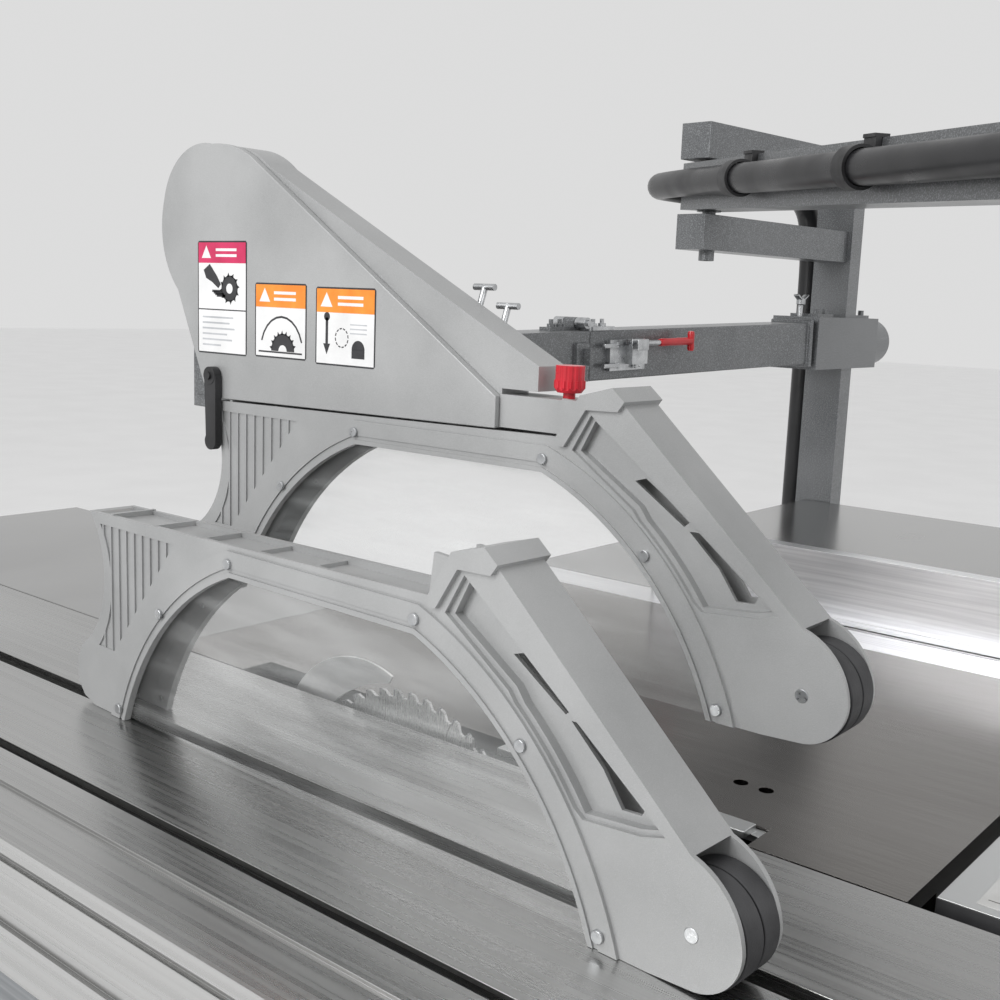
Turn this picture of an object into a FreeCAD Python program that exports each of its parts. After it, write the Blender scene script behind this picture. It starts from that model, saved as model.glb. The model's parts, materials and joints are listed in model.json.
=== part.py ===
# Sliding table panel saw, modelled as an assembly of separate pieces.
# Frame: millimetres, +Z up, floor at Z = 0. The origin is on the floor below the middle of the main
# saw blade: X = 0 is the blade's plane (+X is the rip fence side) and +Y is the direction of the feed.
import FreeCAD, Part
import math
import os
import re

V = FreeCAD.Vector
doc = FreeCAD.newDocument("PanelSaw")

# ---------------------------------------------------------------- driving sizes
SIZES = [
    ("table_top", 860, "floor to working surface"),
    ("plate_thick", 16, "thickness of the cast table's plate"),
    ("skirt_depth", 60, "depth of the cast table's skirt"),
    ("table_left", -6, "left edge of the cast table"),
    ("table_right", 578, "right edge of the cast table"),
    ("table_front", -484, "infeed edge of the cast table"),
    ("table_back", 368, "outfeed edge of the cast table"),
    ("slot_right", 32, "right side of the blade opening"),
    ("slot_front", -360, "infeed end of the blade opening"),
    ("slot_back", 240, "outfeed end of the blade opening"),
    ("strip_width", 72, "joint strip between the two tables"),
    ("strip_thick", 24, "joint strip thickness"),
    ("panel_thick", 25, "folded table panel, overall"),
    ("sheet_wall", 3, "sheet thickness of the folded panels"),
    ("extension_right", 1596, "right edge of the extension table"),
    ("outfeed_right", 376, "right edge of the outfeed table"),
    ("outfeed_back", 1200, "far edge of the outfeed table"),
    ("table_gap", 1, "gap between neighbouring tables"),
    ("frame_size", 50, "section of the side tables' frames"),
    ("cabinet_left", -90, "left wall of the cabinet"),
    ("cabinet_wall", 5, "cabinet sheet thickness"),
    ("ledge_top", 740, "cabinet height under the sliding table"),
    ("door_front", -300, "door opening, infeed side"),
    ("door_back", 200, "door opening, outfeed side"),
    ("door_low", 150, "door opening, bottom"),
    ("door_high", 650, "door opening, top"),
    ("door_thick", 4, "door sheet"),
    ("hinge_x", 584, "door hinge axis"),
    ("hinge_y", 217.5, "door hinge axis"),
    ("slide_left", -379, "outer side of the sliding table"),
    ("slide_right", -8, "blade side of the sliding table"),
    ("slide_depth", 112, "depth of the sliding table extrusion"),
    ("slide_length", 3200, "length of the sliding table"),
    ("slide_wall", 9, "wall of the extrusion"),
    ("slot_a", -163.5, "centre of the inner tee slot"),
    ("slot_b", -288.5, "centre of the outer tee slot"),
    ("slot_a_width", 17, "mouth of the inner tee slot"),
    ("slot_b_width", 11, "mouth of the outer tee slot"),
    ("cap_thick", 12, "end cap thickness"),
    ("beam_length", 2000, "length of the fixed beam"),
    ("beam_left", -330, "outer side of the fixed beam"),
    ("beam_low", 560, "underside of the fixed beam"),
    ("beam_wall", 8, "wall of the fixed beam"),
    ("beam_gap", 1.5, "clearance between beam rails and sliding table"),
    ("blade_radius", 150, "main saw blade"),
    ("blade_kerf", 3.2, "main saw blade thickness"),
    ("blade_drop", 119, "arbor axis below the working surface"),
    ("scorer_radius", 60, "scoring blade"),
    ("scorer_front", -232, "scoring blade axis, along the feed"),
    ("scorer_drop", 70, "scoring blade axis below the working surface"),
    ("motor_radius", 80, "motor body"),
    ("motor_drop", 400, "motor axis below the working surface"),
    ("motor_shift", 20, "motor axis behind the arbor axis"),
    ("guard_width", 46, "riving guard overall width"),
    ("guard_plate", 4, "side wall of the guard castings"),
    ("guard_raise", 96, "working guard above the working surface"),
    ("guard_y", -402, "roller axis of the working guard"),
    ("spare_x", -185, "middle of the spare guard"),
    ("spare_y", -431, "roller axis of the spare guard"),
    ("spare_turn", -2.5, "yaw of the spare guard, degrees"),
    ("roller_radius", 35.7, "guard roller"),
    ("roller_height", 36, "roller axis above the guard's foot"),
    ("bar_radius", 20, "round bar that carries the rip fence"),
    ("bar_y", -592, "bar axis in front of the table"),
    ("bar_drop", 54, "bar axis below the working surface"),
    ("fence_x", 660, "left face of the rip fence"),
    ("fence_thick", 24, "rip fence thickness"),
    ("fence_tall", 92, "rip fence height"),
    ("fence_far", 150, "outfeed end of the rip fence"),
    ("column_x", 1600, "left face of the column"),
    ("column_y", 310, "front face of the column"),
    ("column_deep", 80, "column section along the feed"),
    ("column_wide", 50, "column section across the feed"),
    ("column_rise", 724, "column top above the working surface"),
    ("tube_wall", 4, "wall of the square tubes"),
    ("arm_size", 80, "main arm tube"),
    ("arm_rise", 336, "main arm axis at the column, above the working surface"),
    ("arm_turn", 5.25, "yaw of the main arm, degrees"),
    ("arm_dip", 1.8, "droop of the main arm, degrees"),
    ("outer_arm_length", 670, "column clamp to the swing hinge"),
    ("inner_arm_length", 640, "swing hinge to the hood bracket"),
    ("spigot_radius", 50, "dust spigot outside"),
    ("spigot_length", 70, "dust spigot length"),
    ("pivot_x", 1162, "boom pivot"),
    ("pivot_y", 392, "boom pivot"),
    ("boom_length", 1800, "boom, pivot to tip"),
    ("boom_turn", -127, "heading of the boom, degrees"),
    ("boom_dip", 2.8, "droop of the boom, degrees"),
    ("boom_low", 571, "underside of the boom at its pivot, above the working surface"),
    ("boom_size", 82, "boom tube"),
    ("fork_size", 62, "fork arm tube"),
    ("hose_radius", 24, "cable conduit"),
    ("fit_gap", 0.5, "clearance between pieces that move past each other"),
]
sheet = doc.addObject("Spreadsheet::Sheet", "Sizes")
S = {}
for row, (alias, value, meaning) in enumerate(SIZES, start=1):
    sheet.set(f"A{row}", str(value))
    sheet.setAlias(f"A{row}", alias)
    sheet.set(f"B{row}", meaning)
    S[alias] = float(value)
doc.recompute()

NODES = []
counter = [0]


def qualify(text):
    """Point every alias in an expression at the sheet."""
    return re.sub(r"[a-z][a-z_]+", lambda m: "Sizes." + m.group(0) if m.group(0) in S else m.group(0), str(text))


def part_name(kind):
    counter[0] += 1
    return f"{kind}_{counter[0]}"


def bind(obj, **expressions):
    for prop, text in expressions.items():
        obj.setExpression(prop, qualify(text))


def place(obj, x, y, z):
    for axis, text in zip("xyz", (x, y, z)):
        obj.setExpression("Placement.Base." + axis, qualify(text))


def box(x, y, z):
    """A block between two expressions along each axis."""
    block = doc.addObject("Part::Box", part_name("Block"))
    bind(block, Length=f"({x[1]}) - ({x[0]})", Width=f"({y[1]}) - ({y[0]})", Height=f"({z[1]}) - ({z[0]})")
    place(block, x[0], y[0], z[0])
    return block


TURNS = {
    "X": FreeCAD.Rotation(V(0, 1, 0), 90),
    "Y": FreeCAD.Rotation(V(1, 0, 0), -90),
    "Z": FreeCAD.Rotation(),
}


def rod(radius, axis, span, at):
    """A cylinder along an axis: span is its two ends, at its centre in the other two axes."""
    bar = doc.addObject("Part::Cylinder", part_name("Rod"))
    bind(bar, Radius=radius, Height=f"({span[1]}) - ({span[0]})")
    bar.Placement = FreeCAD.Placement(V(), TURNS[axis])
    centre = list(at)
    centre.insert("XYZ".index(axis), span[0])
    place(bar, *centre)
    return bar


def fuse(*shapes):
    joined = doc.addObject("Part::MultiFuse", part_name("Fuse"))
    joined.Shapes = list(shapes)
    return joined


def group(*shapes):
    """Separate solids that share a node."""
    together = doc.addObject("Part::Compound", part_name("Group"))
    together.Links = list(shapes)
    return together


def cut(base, *tools):
    left = doc.addObject("Part::Cut", part_name("Cut"))
    left.Base = base
    left.Tool = tools[0] if len(tools) == 1 else fuse(*tools)
    return left


def node(label, obj):
    obj.Label = label
    NODES.append(obj)
    return obj


def feature(label, shape, placement=None):
    """A sub-part whose outline needs Part's own functions."""
    made = doc.addObject("Part::Feature", part_name("Piece"))
    made.Shape = shape
    if placement:
        made.Placement = placement
    return node(label, made)


def tube(x, y, z, wall, open_axis=None):
    """A hollow box section; open_axis names the axis whose ends stay open."""
    inner = []
    for name, (low, high) in zip("XYZ", (x, y, z)):
        if name == open_axis:
            inner.append((f"({low}) - 1", f"({high}) + 1"))
        else:
            inner.append((f"({low}) + {wall}", f"({high}) - {wall}"))
    return cut(box(x, y, z), box(*inner))


# ---------------------------------------------------------------- tables and cabinet
def make_cabinet():
    shell = tube(("cabinet_left", "table_right"), ("table_front", "table_back"),
                 ("0", "table_top - plate_thick - skirt_depth"), "cabinet_wall")
    ledge = box(("cabinet_left - 1", "table_left"), ("table_front - 1", "table_back + 1"),
                ("ledge_top", "table_top"))
    well = box(("table_left + cabinet_wall", "table_right - cabinet_wall"),
               ("table_front + cabinet_wall", "table_back - cabinet_wall"), ("ledge_top - 20", "table_top"))
    slot = box(("cabinet_left + cabinet_wall", "table_left + cabinet_wall + 1"),
               ("slot_front", "slot_back"), ("ledge_top - 20", "table_top"))
    door = box(("table_right - 10", "table_right + 1"), ("door_front", "door_back"), ("door_low", "door_high"))
    knuckles, joints = [], []
    for low in ("door_low + 40", "door_high - 130"):
        knuckles.append(fuse(rod("5", "Z", (f"{low} + 31", f"{low} + 60"), ("hinge_x", "hinge_y")),
                             rod("2.4", "Z", (low, f"{low} + 90"), ("hinge_x", "hinge_y")),
                             box(("table_right - 2", "hinge_x"), ("hinge_y", "hinge_y + 5"),
                                 (f"{low} + 31", f"{low} + 60"))))
        for start in (low, f"{low} + 61"):
            joints.append(fuse(rod("5", "Z", (start, f"{start} + 30"), ("hinge_x", "hinge_y")),
                               box(("table_right + fit_gap", "hinge_x - 1.5"), ("door_back + 6", "hinge_y"),
                                   (start, f"{start} + 30"))))
    node("base_cabinet", fuse(cut(shell, ledge, well, slot, door), *knuckles))
    leaf = box(("table_right + fit_gap", "table_right + fit_gap + door_thick"),
               ("door_front - 12", "door_back + 12"), ("door_low - 12", "door_high + 12"))
    pull = cut(box(("table_right + fit_gap + door_thick", "table_right + fit_gap + door_thick + 24"),
                   ("door_front + 10", "door_front + 22"), ("table_top / 2 - 60", "table_top / 2 + 60")),
               box(("table_right + fit_gap", "table_right + fit_gap + door_thick + 14"),
                   ("door_front + 9", "door_front + 23"), ("table_top / 2 - 48", "table_top / 2 + 48")))
    bore = rod("2.46", "Z", ("door_low", "door_high"), ("hinge_x", "hinge_y"))
    node("cabinet_door", cut(fuse(leaf, pull, *joints), bore))


def make_main_table():
    top = box(("table_left", "table_right"), ("table_front", "table_back"), ("table_top - plate_thick", "table_top"))
    skirt = cut(box(("table_left + 60", "table_right"), ("table_front", "table_back"),
                    ("table_top - plate_thick - skirt_depth", "table_top - plate_thick")),
                box(("table_left", "table_right - 14"), ("table_front + 14", "table_back - 14"),
                    ("table_top - plate_thick - skirt_depth - 1", "table_top - plate_thick")))
    opening = box(("table_left - 1", "slot_right"), ("slot_front", "slot_back"),
                  ("table_top - plate_thick - 1", "table_top + 1"))
    holes = [rod("6.5", "Z", ("table_top - 12", "table_top + 1"), ("100.5", y)) for y in ("-297", "-321")]
    node("main_table", cut(fuse(top, skirt), opening, *holes))
    bar = box(("6", "26"), ("-351", "-104"), ("table_top - 2", "table_top + 4"))
    tongue = box(("18", "slot_right - 1"), ("slot_front + 1", "-104"), ("table_top - 8", "table_top - 2"))
    node("table_insert", fuse(bar, tongue))
    node("joint_strip", box(("table_right + table_gap", "table_right + strip_width - table_gap"),
                            ("table_front", "table_back"), ("table_top - strip_thick", "table_top")))


def make_side_tables():
    low = "table_top - panel_thick"
    node("extension_table", tube(("table_right + strip_width", "extension_right"),
                                 ("table_front", "table_back"), (low, "table_top"), "sheet_wall"))
    node("outfeed_table", tube(("table_left", "outfeed_right"), ("table_back + table_gap", "outfeed_back"),
                               (low, "table_top"), "sheet_wall"))
    under = "table_top - panel_thick - frame_size"
    frames = []
    for y in ("table_front + 60", "table_back - 110"):
        bearer = tube(("table_right", "extension_right - 20"), (y, f"{y} + frame_size"), (under, low), "tube_wall")
        leg = tube(("extension_right - 120", "extension_right - 120 + frame_size"), (y, f"{y} + frame_size"),
                   ("8", under), "tube_wall")
        foot = rod("38", "Z", ("0", "8"), ("extension_right - 120 + frame_size / 2", f"{y} + frame_size / 2"))
        frames.append(fuse(bearer, leg, foot))
    for x in ("table_left + 40", "outfeed_right - 90"):
        bearer = tube((x, f"{x} + frame_size"), ("table_back", "outfeed_back - 30"), (under, low), "tube_wall")
        leg = tube((x, f"{x} + frame_size"), ("outfeed_back - 130", "outfeed_back - 130 + frame_size"),
                   ("8", under), "tube_wall")
        foot = rod("38", "Z", ("0", "8"), (f"{x} + frame_size / 2", "outfeed_back - 130 + frame_size / 2"))
        frames.append(fuse(bearer, leg, foot))
    node("table_frames", group(*frames))


def make_fence():
    rail = tube(("table_left + 30", "extension_right"), ("table_front - 60", "table_front - 10"),
                ("table_top - 60", "table_top - 4"), "5")
    lip = box(("table_left + 30", "extension_right"), ("table_front - 10", "table_front"),
              ("table_top - 50", "table_top - 40"))
    node("fence_rail", fuse(rail, lip))
    node("fence_bar", rod("bar_radius", "X", ("table_left + 30", "extension_right"),
                          ("bar_y", "table_top - bar_drop")))
    stays = []
    for x in ("60", "640", "1220", "extension_right - 40"):
        stays.append(cut(box((x, f"{x} + 16"), ("bar_y", "table_front - 60"),
                             ("table_top - bar_drop - 12", "table_top - bar_drop + 12")),
                         rod("bar_radius", "X", (f"{x} - 1", f"{x} + 17"), ("bar_y", "table_top - bar_drop"))))
    node("bar_brackets", group(*stays))
    shell = tube(("fence_x", "fence_x + fence_thick"), ("bar_y - 60", "fence_far"),
                 ("table_top + fit_gap", "table_top + fence_tall"), "3", "Y")
    groove = box(("fence_x - 1", "fence_x + 2"), ("bar_y - 61", "fence_far + 1"),
                 ("table_top + 8", "table_top + 14"))
    web = box(("fence_x + 3", "fence_x + fence_thick - 3"), ("bar_y - 60", "fence_far"),
              ("table_top + 44", "table_top + 48"))
    node("rip_fence", fuse(cut(shell, groove), web))
    block = cut(box(("fence_x - 20", "fence_x + 70"), ("bar_y - 60", "bar_y + 32"),
                    ("table_top - bar_drop - 34", "table_top - 2")),
                rod("bar_radius + 0.06", "X", ("fence_x - 21", "fence_x + 71"), ("bar_y", "table_top - bar_drop")),
                box(("fence_x - 21", "fence_x + 71"), ("bar_y", "bar_y + 33"),
                    ("table_top - bar_drop - 35", "table_top - bar_drop + 14")))
    foot = box(("fence_x - 20", "fence_x + 70"), ("bar_y - 60", "bar_y - 34"), ("table_top - 2", "table_top + fit_gap"))
    node("fence_carriage", fuse(block, foot))
    boss = rod("14", "Y", ("bar_y - 76", "bar_y - 60.5"), ("fence_x + 40", "table_top - bar_drop"))
    handle = rod("7", "Z", ("table_top - bar_drop - 110", "table_top - bar_drop"), ("fence_x + 40", "bar_y - 68"))
    grip = rod("12", "Z", ("table_top - bar_drop - 150", "table_top - bar_drop - 90"), ("fence_x + 40", "bar_y - 68"))
    node("fence_lever", fuse(boss, handle, grip))


# ---------------------------------------------------------------- sliding table
def make_slide():
    low, high = "table_top - slide_depth", "table_top"
    ends = ("-slide_length / 2 + cap_thick", "slide_length / 2 - cap_thick")
    body = box(("slide_left", "slide_right"), ends, (low, high))
    chambers = []
    for x in (("slide_left + slide_wall", "slot_b - 26"), ("slot_b + 26", "slot_a - 28"),
              ("slot_a + 28", "slide_right - slide_wall")):
        chambers.append(box(x, ("-slide_length / 2", "slide_length / 2"), (f"{low} + slide_wall", "table_top - slide_wall")))
    slots = []
    for centre, mouth in (("slot_a", "slot_a_width"), ("slot_b", "slot_b_width")):
        slots.append(box((f"{centre} - {mouth} / 2", f"{centre} + {mouth} / 2"),
                         ("-slide_length / 2", "slide_length / 2"), ("table_top - 12", "table_top + 1")))
        slots.append(box((f"{centre} - {mouth}", f"{centre} + {mouth}"),
                         ("-slide_length / 2", "slide_length / 2"), ("table_top - 26", "table_top - 10")))
    step = box(("slide_left - 1", "-329"), ("-slide_length / 2", "slide_length / 2"), ("table_top - 3", "table_top + 1"))
    grooves = [box(("slide_left - 1", "slide_left + 4"), ("-slide_length / 2", "slide_length / 2"),
                   (f"table_top - {deep} - {tall}", f"table_top - {deep}")) for deep, tall in ((15, 6), (60, 14))]
    node("slide_table", cut(body, *chambers, *slots, step, *grooves))
    caps = []
    for near, far in (("-slide_length / 2", "-slide_length / 2 + cap_thick"),
                      ("slide_length / 2 - cap_thick", "slide_length / 2")):
        caps.append(box(("slide_left", "slide_right"), (near, far), (low, "table_top - 3")))
    node("slide_end_caps", group(*caps))
    stem = [rod("9", "X", ("slide_left - 60", "slide_left"), (y, "table_top - 45"))
            for y in ("-slide_length / 2 + 60", "-slide_length / 2 + 220")]
    grip = rod("15", "Y", ("-slide_length / 2 + 40", "-slide_length / 2 + 240"), ("slide_left - 60", "table_top - 45"))
    node("push_handle", fuse(grip, *stem))
    beam = tube(("beam_left", "cabinet_left"), ("-beam_length / 2", "beam_length / 2"),
                ("beam_low", "table_top - slide_depth - 14"), "beam_wall")
    rails = [box((x, f"{x} + 24"), ("-beam_length / 2", "beam_length / 2"),
                 ("table_top - slide_depth - 14", "table_top - slide_depth - beam_gap"))
             for x in ("beam_left + 16", "cabinet_left - 40")]
    posts = []
    for y in ("-beam_length / 2 + 80", "beam_length / 2 - 160"):
        post = tube(("beam_left + 60", "beam_left + 140"), (y, f"{y} + 80"), ("12", "beam_low"), "beam_wall")
        posts.append(fuse(post, box(("beam_left + 20", "beam_left + 180"), (f"{y} - 40", f"{y} + 120"), ("0", "12"))))
    node("slide_beam", fuse(beam, *rails, *posts))


# ---------------------------------------------------------------- guards
ARCH_MIDDLE, ARCH_HALF, ARCH_TOP = 347.0, 282.0, 178.0     # screw line of the window frame
FLAT_HALF = 110.0                                          # half of the frame's straight top
SCREWS = [(-282, 10), (-212, 115), (-110, 178), (110, 178), (212, 115), (282, 10)]


def wire(points, closed=True):
    """Straight edges, and an arc wherever a point is given as a pair (through, to)."""
    edges, here = [], points[0]
    path = points[1:] + ([points[0]] if closed else [])
    for step in path:
        if isinstance(step[0], tuple):
            edges.append(Part.Arc(V(0, *here), V(0, *step[0]), V(0, *step[1])).toShape())
            here = step[1]
        else:
            if step != here:
                edges.append(Part.LineSegment(V(0, *here), V(0, *step)).toShape())
            here = step
    return Part.Wire(edges)


def slab(points, x_from, x_to):
    """An outline in the feed-height plane, given a thickness from x_from to x_to."""
    solid = Part.Face(wire(points)).extrude(V(x_to - x_from, 0, 0))
    solid.translate(V(x_from, 0, 0))
    return solid


def arch(offset, foot):
    """The window's outline, grown by offset from the line of its screws, standing on height foot."""
    centre_u, centre_v, radius = 13.5, -92.0, 287.0 + offset

    def on_arc(angle, side):
        return (ARCH_MIDDLE + side * (centre_u + radius * math.cos(angle)), centre_v + radius * math.sin(angle))

    top = ARCH_TOP + offset
    start = math.asin((foot - centre_v) / radius)
    end = math.asin((top - centre_v) / radius) if top - centre_v < radius else math.pi / 2
    half = (start + end) / 2
    return [on_arc(start, -1), (on_arc(half, -1), on_arc(end, -1)), on_arc(end, 1), (on_arc(half, 1), on_arc(start, 1))]


def guard_outline():
    """Side view: foot, concave tail, top rail, collar and the slope down to the roller's nose."""
    r, c = S["roller_radius"] - 1.2, S["roller_height"]
    return [(30, 0), (676, 0), (696, 6), (706, 17), ((708, 38), (690, 62)), ((660, 105), (680, 190)),
            (226, 197), (222, 228), (196, 226), (168, 232), (3, 84),
            ((-r * 0.93, c + r * 0.37), (-r, c)), ((-r * 0.6, c - r * 0.8), (0, c - r))]


def guard_half():
    """The left casting, its joint face at X = 0, its roller axis at Y = 0, its foot at Z = 0."""
    outer, wall = -S["guard_width"] / 2, S["guard_plate"]
    beam_web = [(210, 188), (193, 217), (178, 206), (22, 89), (40, 84), (84, 80), (112, 100), (150, 148)]
    side = slab(guard_outline(), outer, outer + wall)
    side = side.cut(slab(arch(-11, -5), outer - 1, outer + wall + 1))
    pocket = slab([(640, 62), (668, 62), ((645, 110), (662, 180)), (540, 180), (600, 110)], outer - 1, outer + 1.6)
    pocket = pocket.cut(slab(arch(15, -5), outer - 2, outer + 2))
    ribs = Part.makeCompound([Part.makeBox(1.6, 2.2, 140, V(outer, 552 + 13 * i, 50)) for i in range(9)])
    side = side.cut(pocket).fuse(pocket.common(ribs))
    rim = slab(arch(11, 0), outer - 2.5, outer + 0.1).cut(slab(arch(-11, -5), outer - 5, outer + 1))
    rim = rim.cut(slab(arch(-3, -5), outer - 3, outer - 1).cut(slab(arch(-7, -5), outer - 4, outer)))
    recess = slab(beam_web, outer - 1, outer + 14).cut(slab(arch(13, -5), outer - 2, outer + 15))
    web = recess.common(Part.makeBox(3, 400, 400, V(outer + 11, 0, 0)))
    for outline in ([(156, 169), (146, 172), (104, 144.5), (110, 139.5)],
                    [(105, 136.5), (96, 137), (44, 97.5), (47, 91.5), (62, 90.5), (78, 112.5)]):
        web = web.cut(slab(outline, outer + 9, outer + 16))
    lining = recess.common(Part.makeBox(14 - wall + 0.2, 400, 400, V(outer + wall - 0.2, 0, 0)))
    cavity = slab([(204, 188), (191, 212.5), (180, 204), (29, 90.5), (42, 87), (86, 83), (109, 103), (146, 151)],
                  outer, outer + 15)
    lining = lining.cut(cavity.cut(slab(arch(17, -5), outer - 2, outer + 16)))
    side = side.cut(recess.common(Part.makeBox(wall + 2, 400, 400, V(outer - 1, 0, 0))))
    nose_front = slab([(168, 232), (3, 84), (9, 78), (174, 225)], outer + 1, 0)
    deck = slab([(216, 184.5), (676, 184.5), (676, 187), (216, 189.8)], outer + 1, 0)
    cells = [Part.makeBox(-outer - 1, 4, 6, V(outer + 1, u, 186)) for u in (360, 430, 500, 570, 640)]
    tail = slab([(668, 4), (676, 4), (693, 9), (701, 19), ((703, 37), (686, 60)), ((655, 105), (674, 189)), (680, 190),
                 ((660, 105), (690, 62)), ((708, 38), (706, 17)), (696, 6), (676, 0), (668, 0)], outer + 1, 0)
    collar = slab([(222, 190), (226, 194), (202, 232), (172, 240), (160, 230), (166, 222), (196, 221), (216, 190)],
                  outer - 4, 0)
    solid = side
    for piece in [rim, lining, web, nose_front, deck, tail, collar] + cells:
        solid = solid.fuse(piece)
    knob_hole = Part.makeCylinder(5.2, 60, V(0, 232, 170), V(0, 0, 1))
    solid = solid.cut(knob_hole)
    for du, dv in SCREWS:
        solid = solid.cut(Part.makeCylinder(2.6, 20, V(outer - 5, ARCH_MIDDLE + du, dv), V(1, 0, 0)))
    solid = solid.cut(Part.makeCylinder(5.05, 30, V(outer - 1, 0, S["roller_height"]), V(1, 0, 0)))
    return solid.removeSplitter()


def guard_window():
    """Clear pane screwed to the inside of a casting."""
    inner = -S["guard_width"] / 2 + S["guard_plate"]
    pane = slab(arch(6, 2), inner + 0.1, inner + 3.1)
    for du, dv in SCREWS:
        pane = pane.cut(Part.makeCylinder(2.6, 20, V(inner - 5, ARCH_MIDDLE + du, dv), V(1, 0, 0)))
    return pane


def guard_screws():
    """Six pan-head screws a side and the roller's through axle."""
    outer, wall, made = -S["guard_width"] / 2, S["guard_plate"], []
    for du, dv in SCREWS:
        at = V(outer - 5, ARCH_MIDDLE + du, dv)
        head = Part.makeCylinder(4.6, 2.5, at, V(1, 0, 0)).cut(Part.makeCylinder(1.8, 1.4, at, V(1, 0, 0)))
        made.append(head.fuse(Part.makeCylinder(2.5, wall + 6.5, at, V(1, 0, 0))))
    made += [s.mirror(V(0, 0, 0), V(1, 0, 0)) for s in list(made)]
    half = S["guard_width"] / 2
    made.append(Part.makeCylinder(5, 2 * half + 1, V(-half - 0.5, 0, S["roller_height"]), V(1, 0, 0)))
    return Part.makeCompound(made)


def guard_roller():
    """Rubber roller in two treads on a common hub, bored for the axle."""
    half, r, height = S["guard_width"] / 2 - S["guard_plate"] - 1, S["roller_radius"], S["roller_height"]
    tread = Part.makeCylinder(r, half - 0.8, V(-half, 0, height), V(1, 0, 0))
    solid = tread.fuse(tread.mirror(V(0, 0, 0), V(1, 0, 0)))
    solid = solid.fuse(Part.makeCylinder(r - 2.5, 4, V(-2, 0, height), V(1, 0, 0)))
    return solid.cut(Part.makeCylinder(5.06, 2 * half + 2, V(-half - 1, 0, height), V(1, 0, 0)))


def make_guards():
    left = guard_half()
    wheel_room = Part.makeCylinder(S["roller_radius"] + 1.5, S["guard_width"] - 2 * S["guard_plate"],
                                   V(-S["guard_width"] / 2 + S["guard_plate"], 0, S["roller_height"]), V(1, 0, 0))
    left = left.cut(wheel_room)
    right = left.mirror(V(0, 0, 0), V(1, 0, 0))
    pane = guard_window()
    panes = Part.makeCompound([pane, pane.mirror(V(0, 0, 0), V(1, 0, 0))])
    seats = {
        "guard": FreeCAD.Placement(V(0, S["guard_y"], S["table_top"] + S["guard_raise"]), FreeCAD.Rotation()),
        "spare": FreeCAD.Placement(V(S["spare_x"], S["spare_y"], S["table_top"] + 0.3),
                                   FreeCAD.Rotation(V(0, 0, 1), S["spare_turn"])),
    }
    for name, seat in seats.items():
        feature(f"{name}_left_half", left, seat)
        feature(f"{name}_right_half", right, seat)
        feature(f"{name}_windows", panes, seat)
        feature(f"{name}_screws", guard_screws(), seat)
        feature(f"{name}_roller", guard_roller(), seat)


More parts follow.
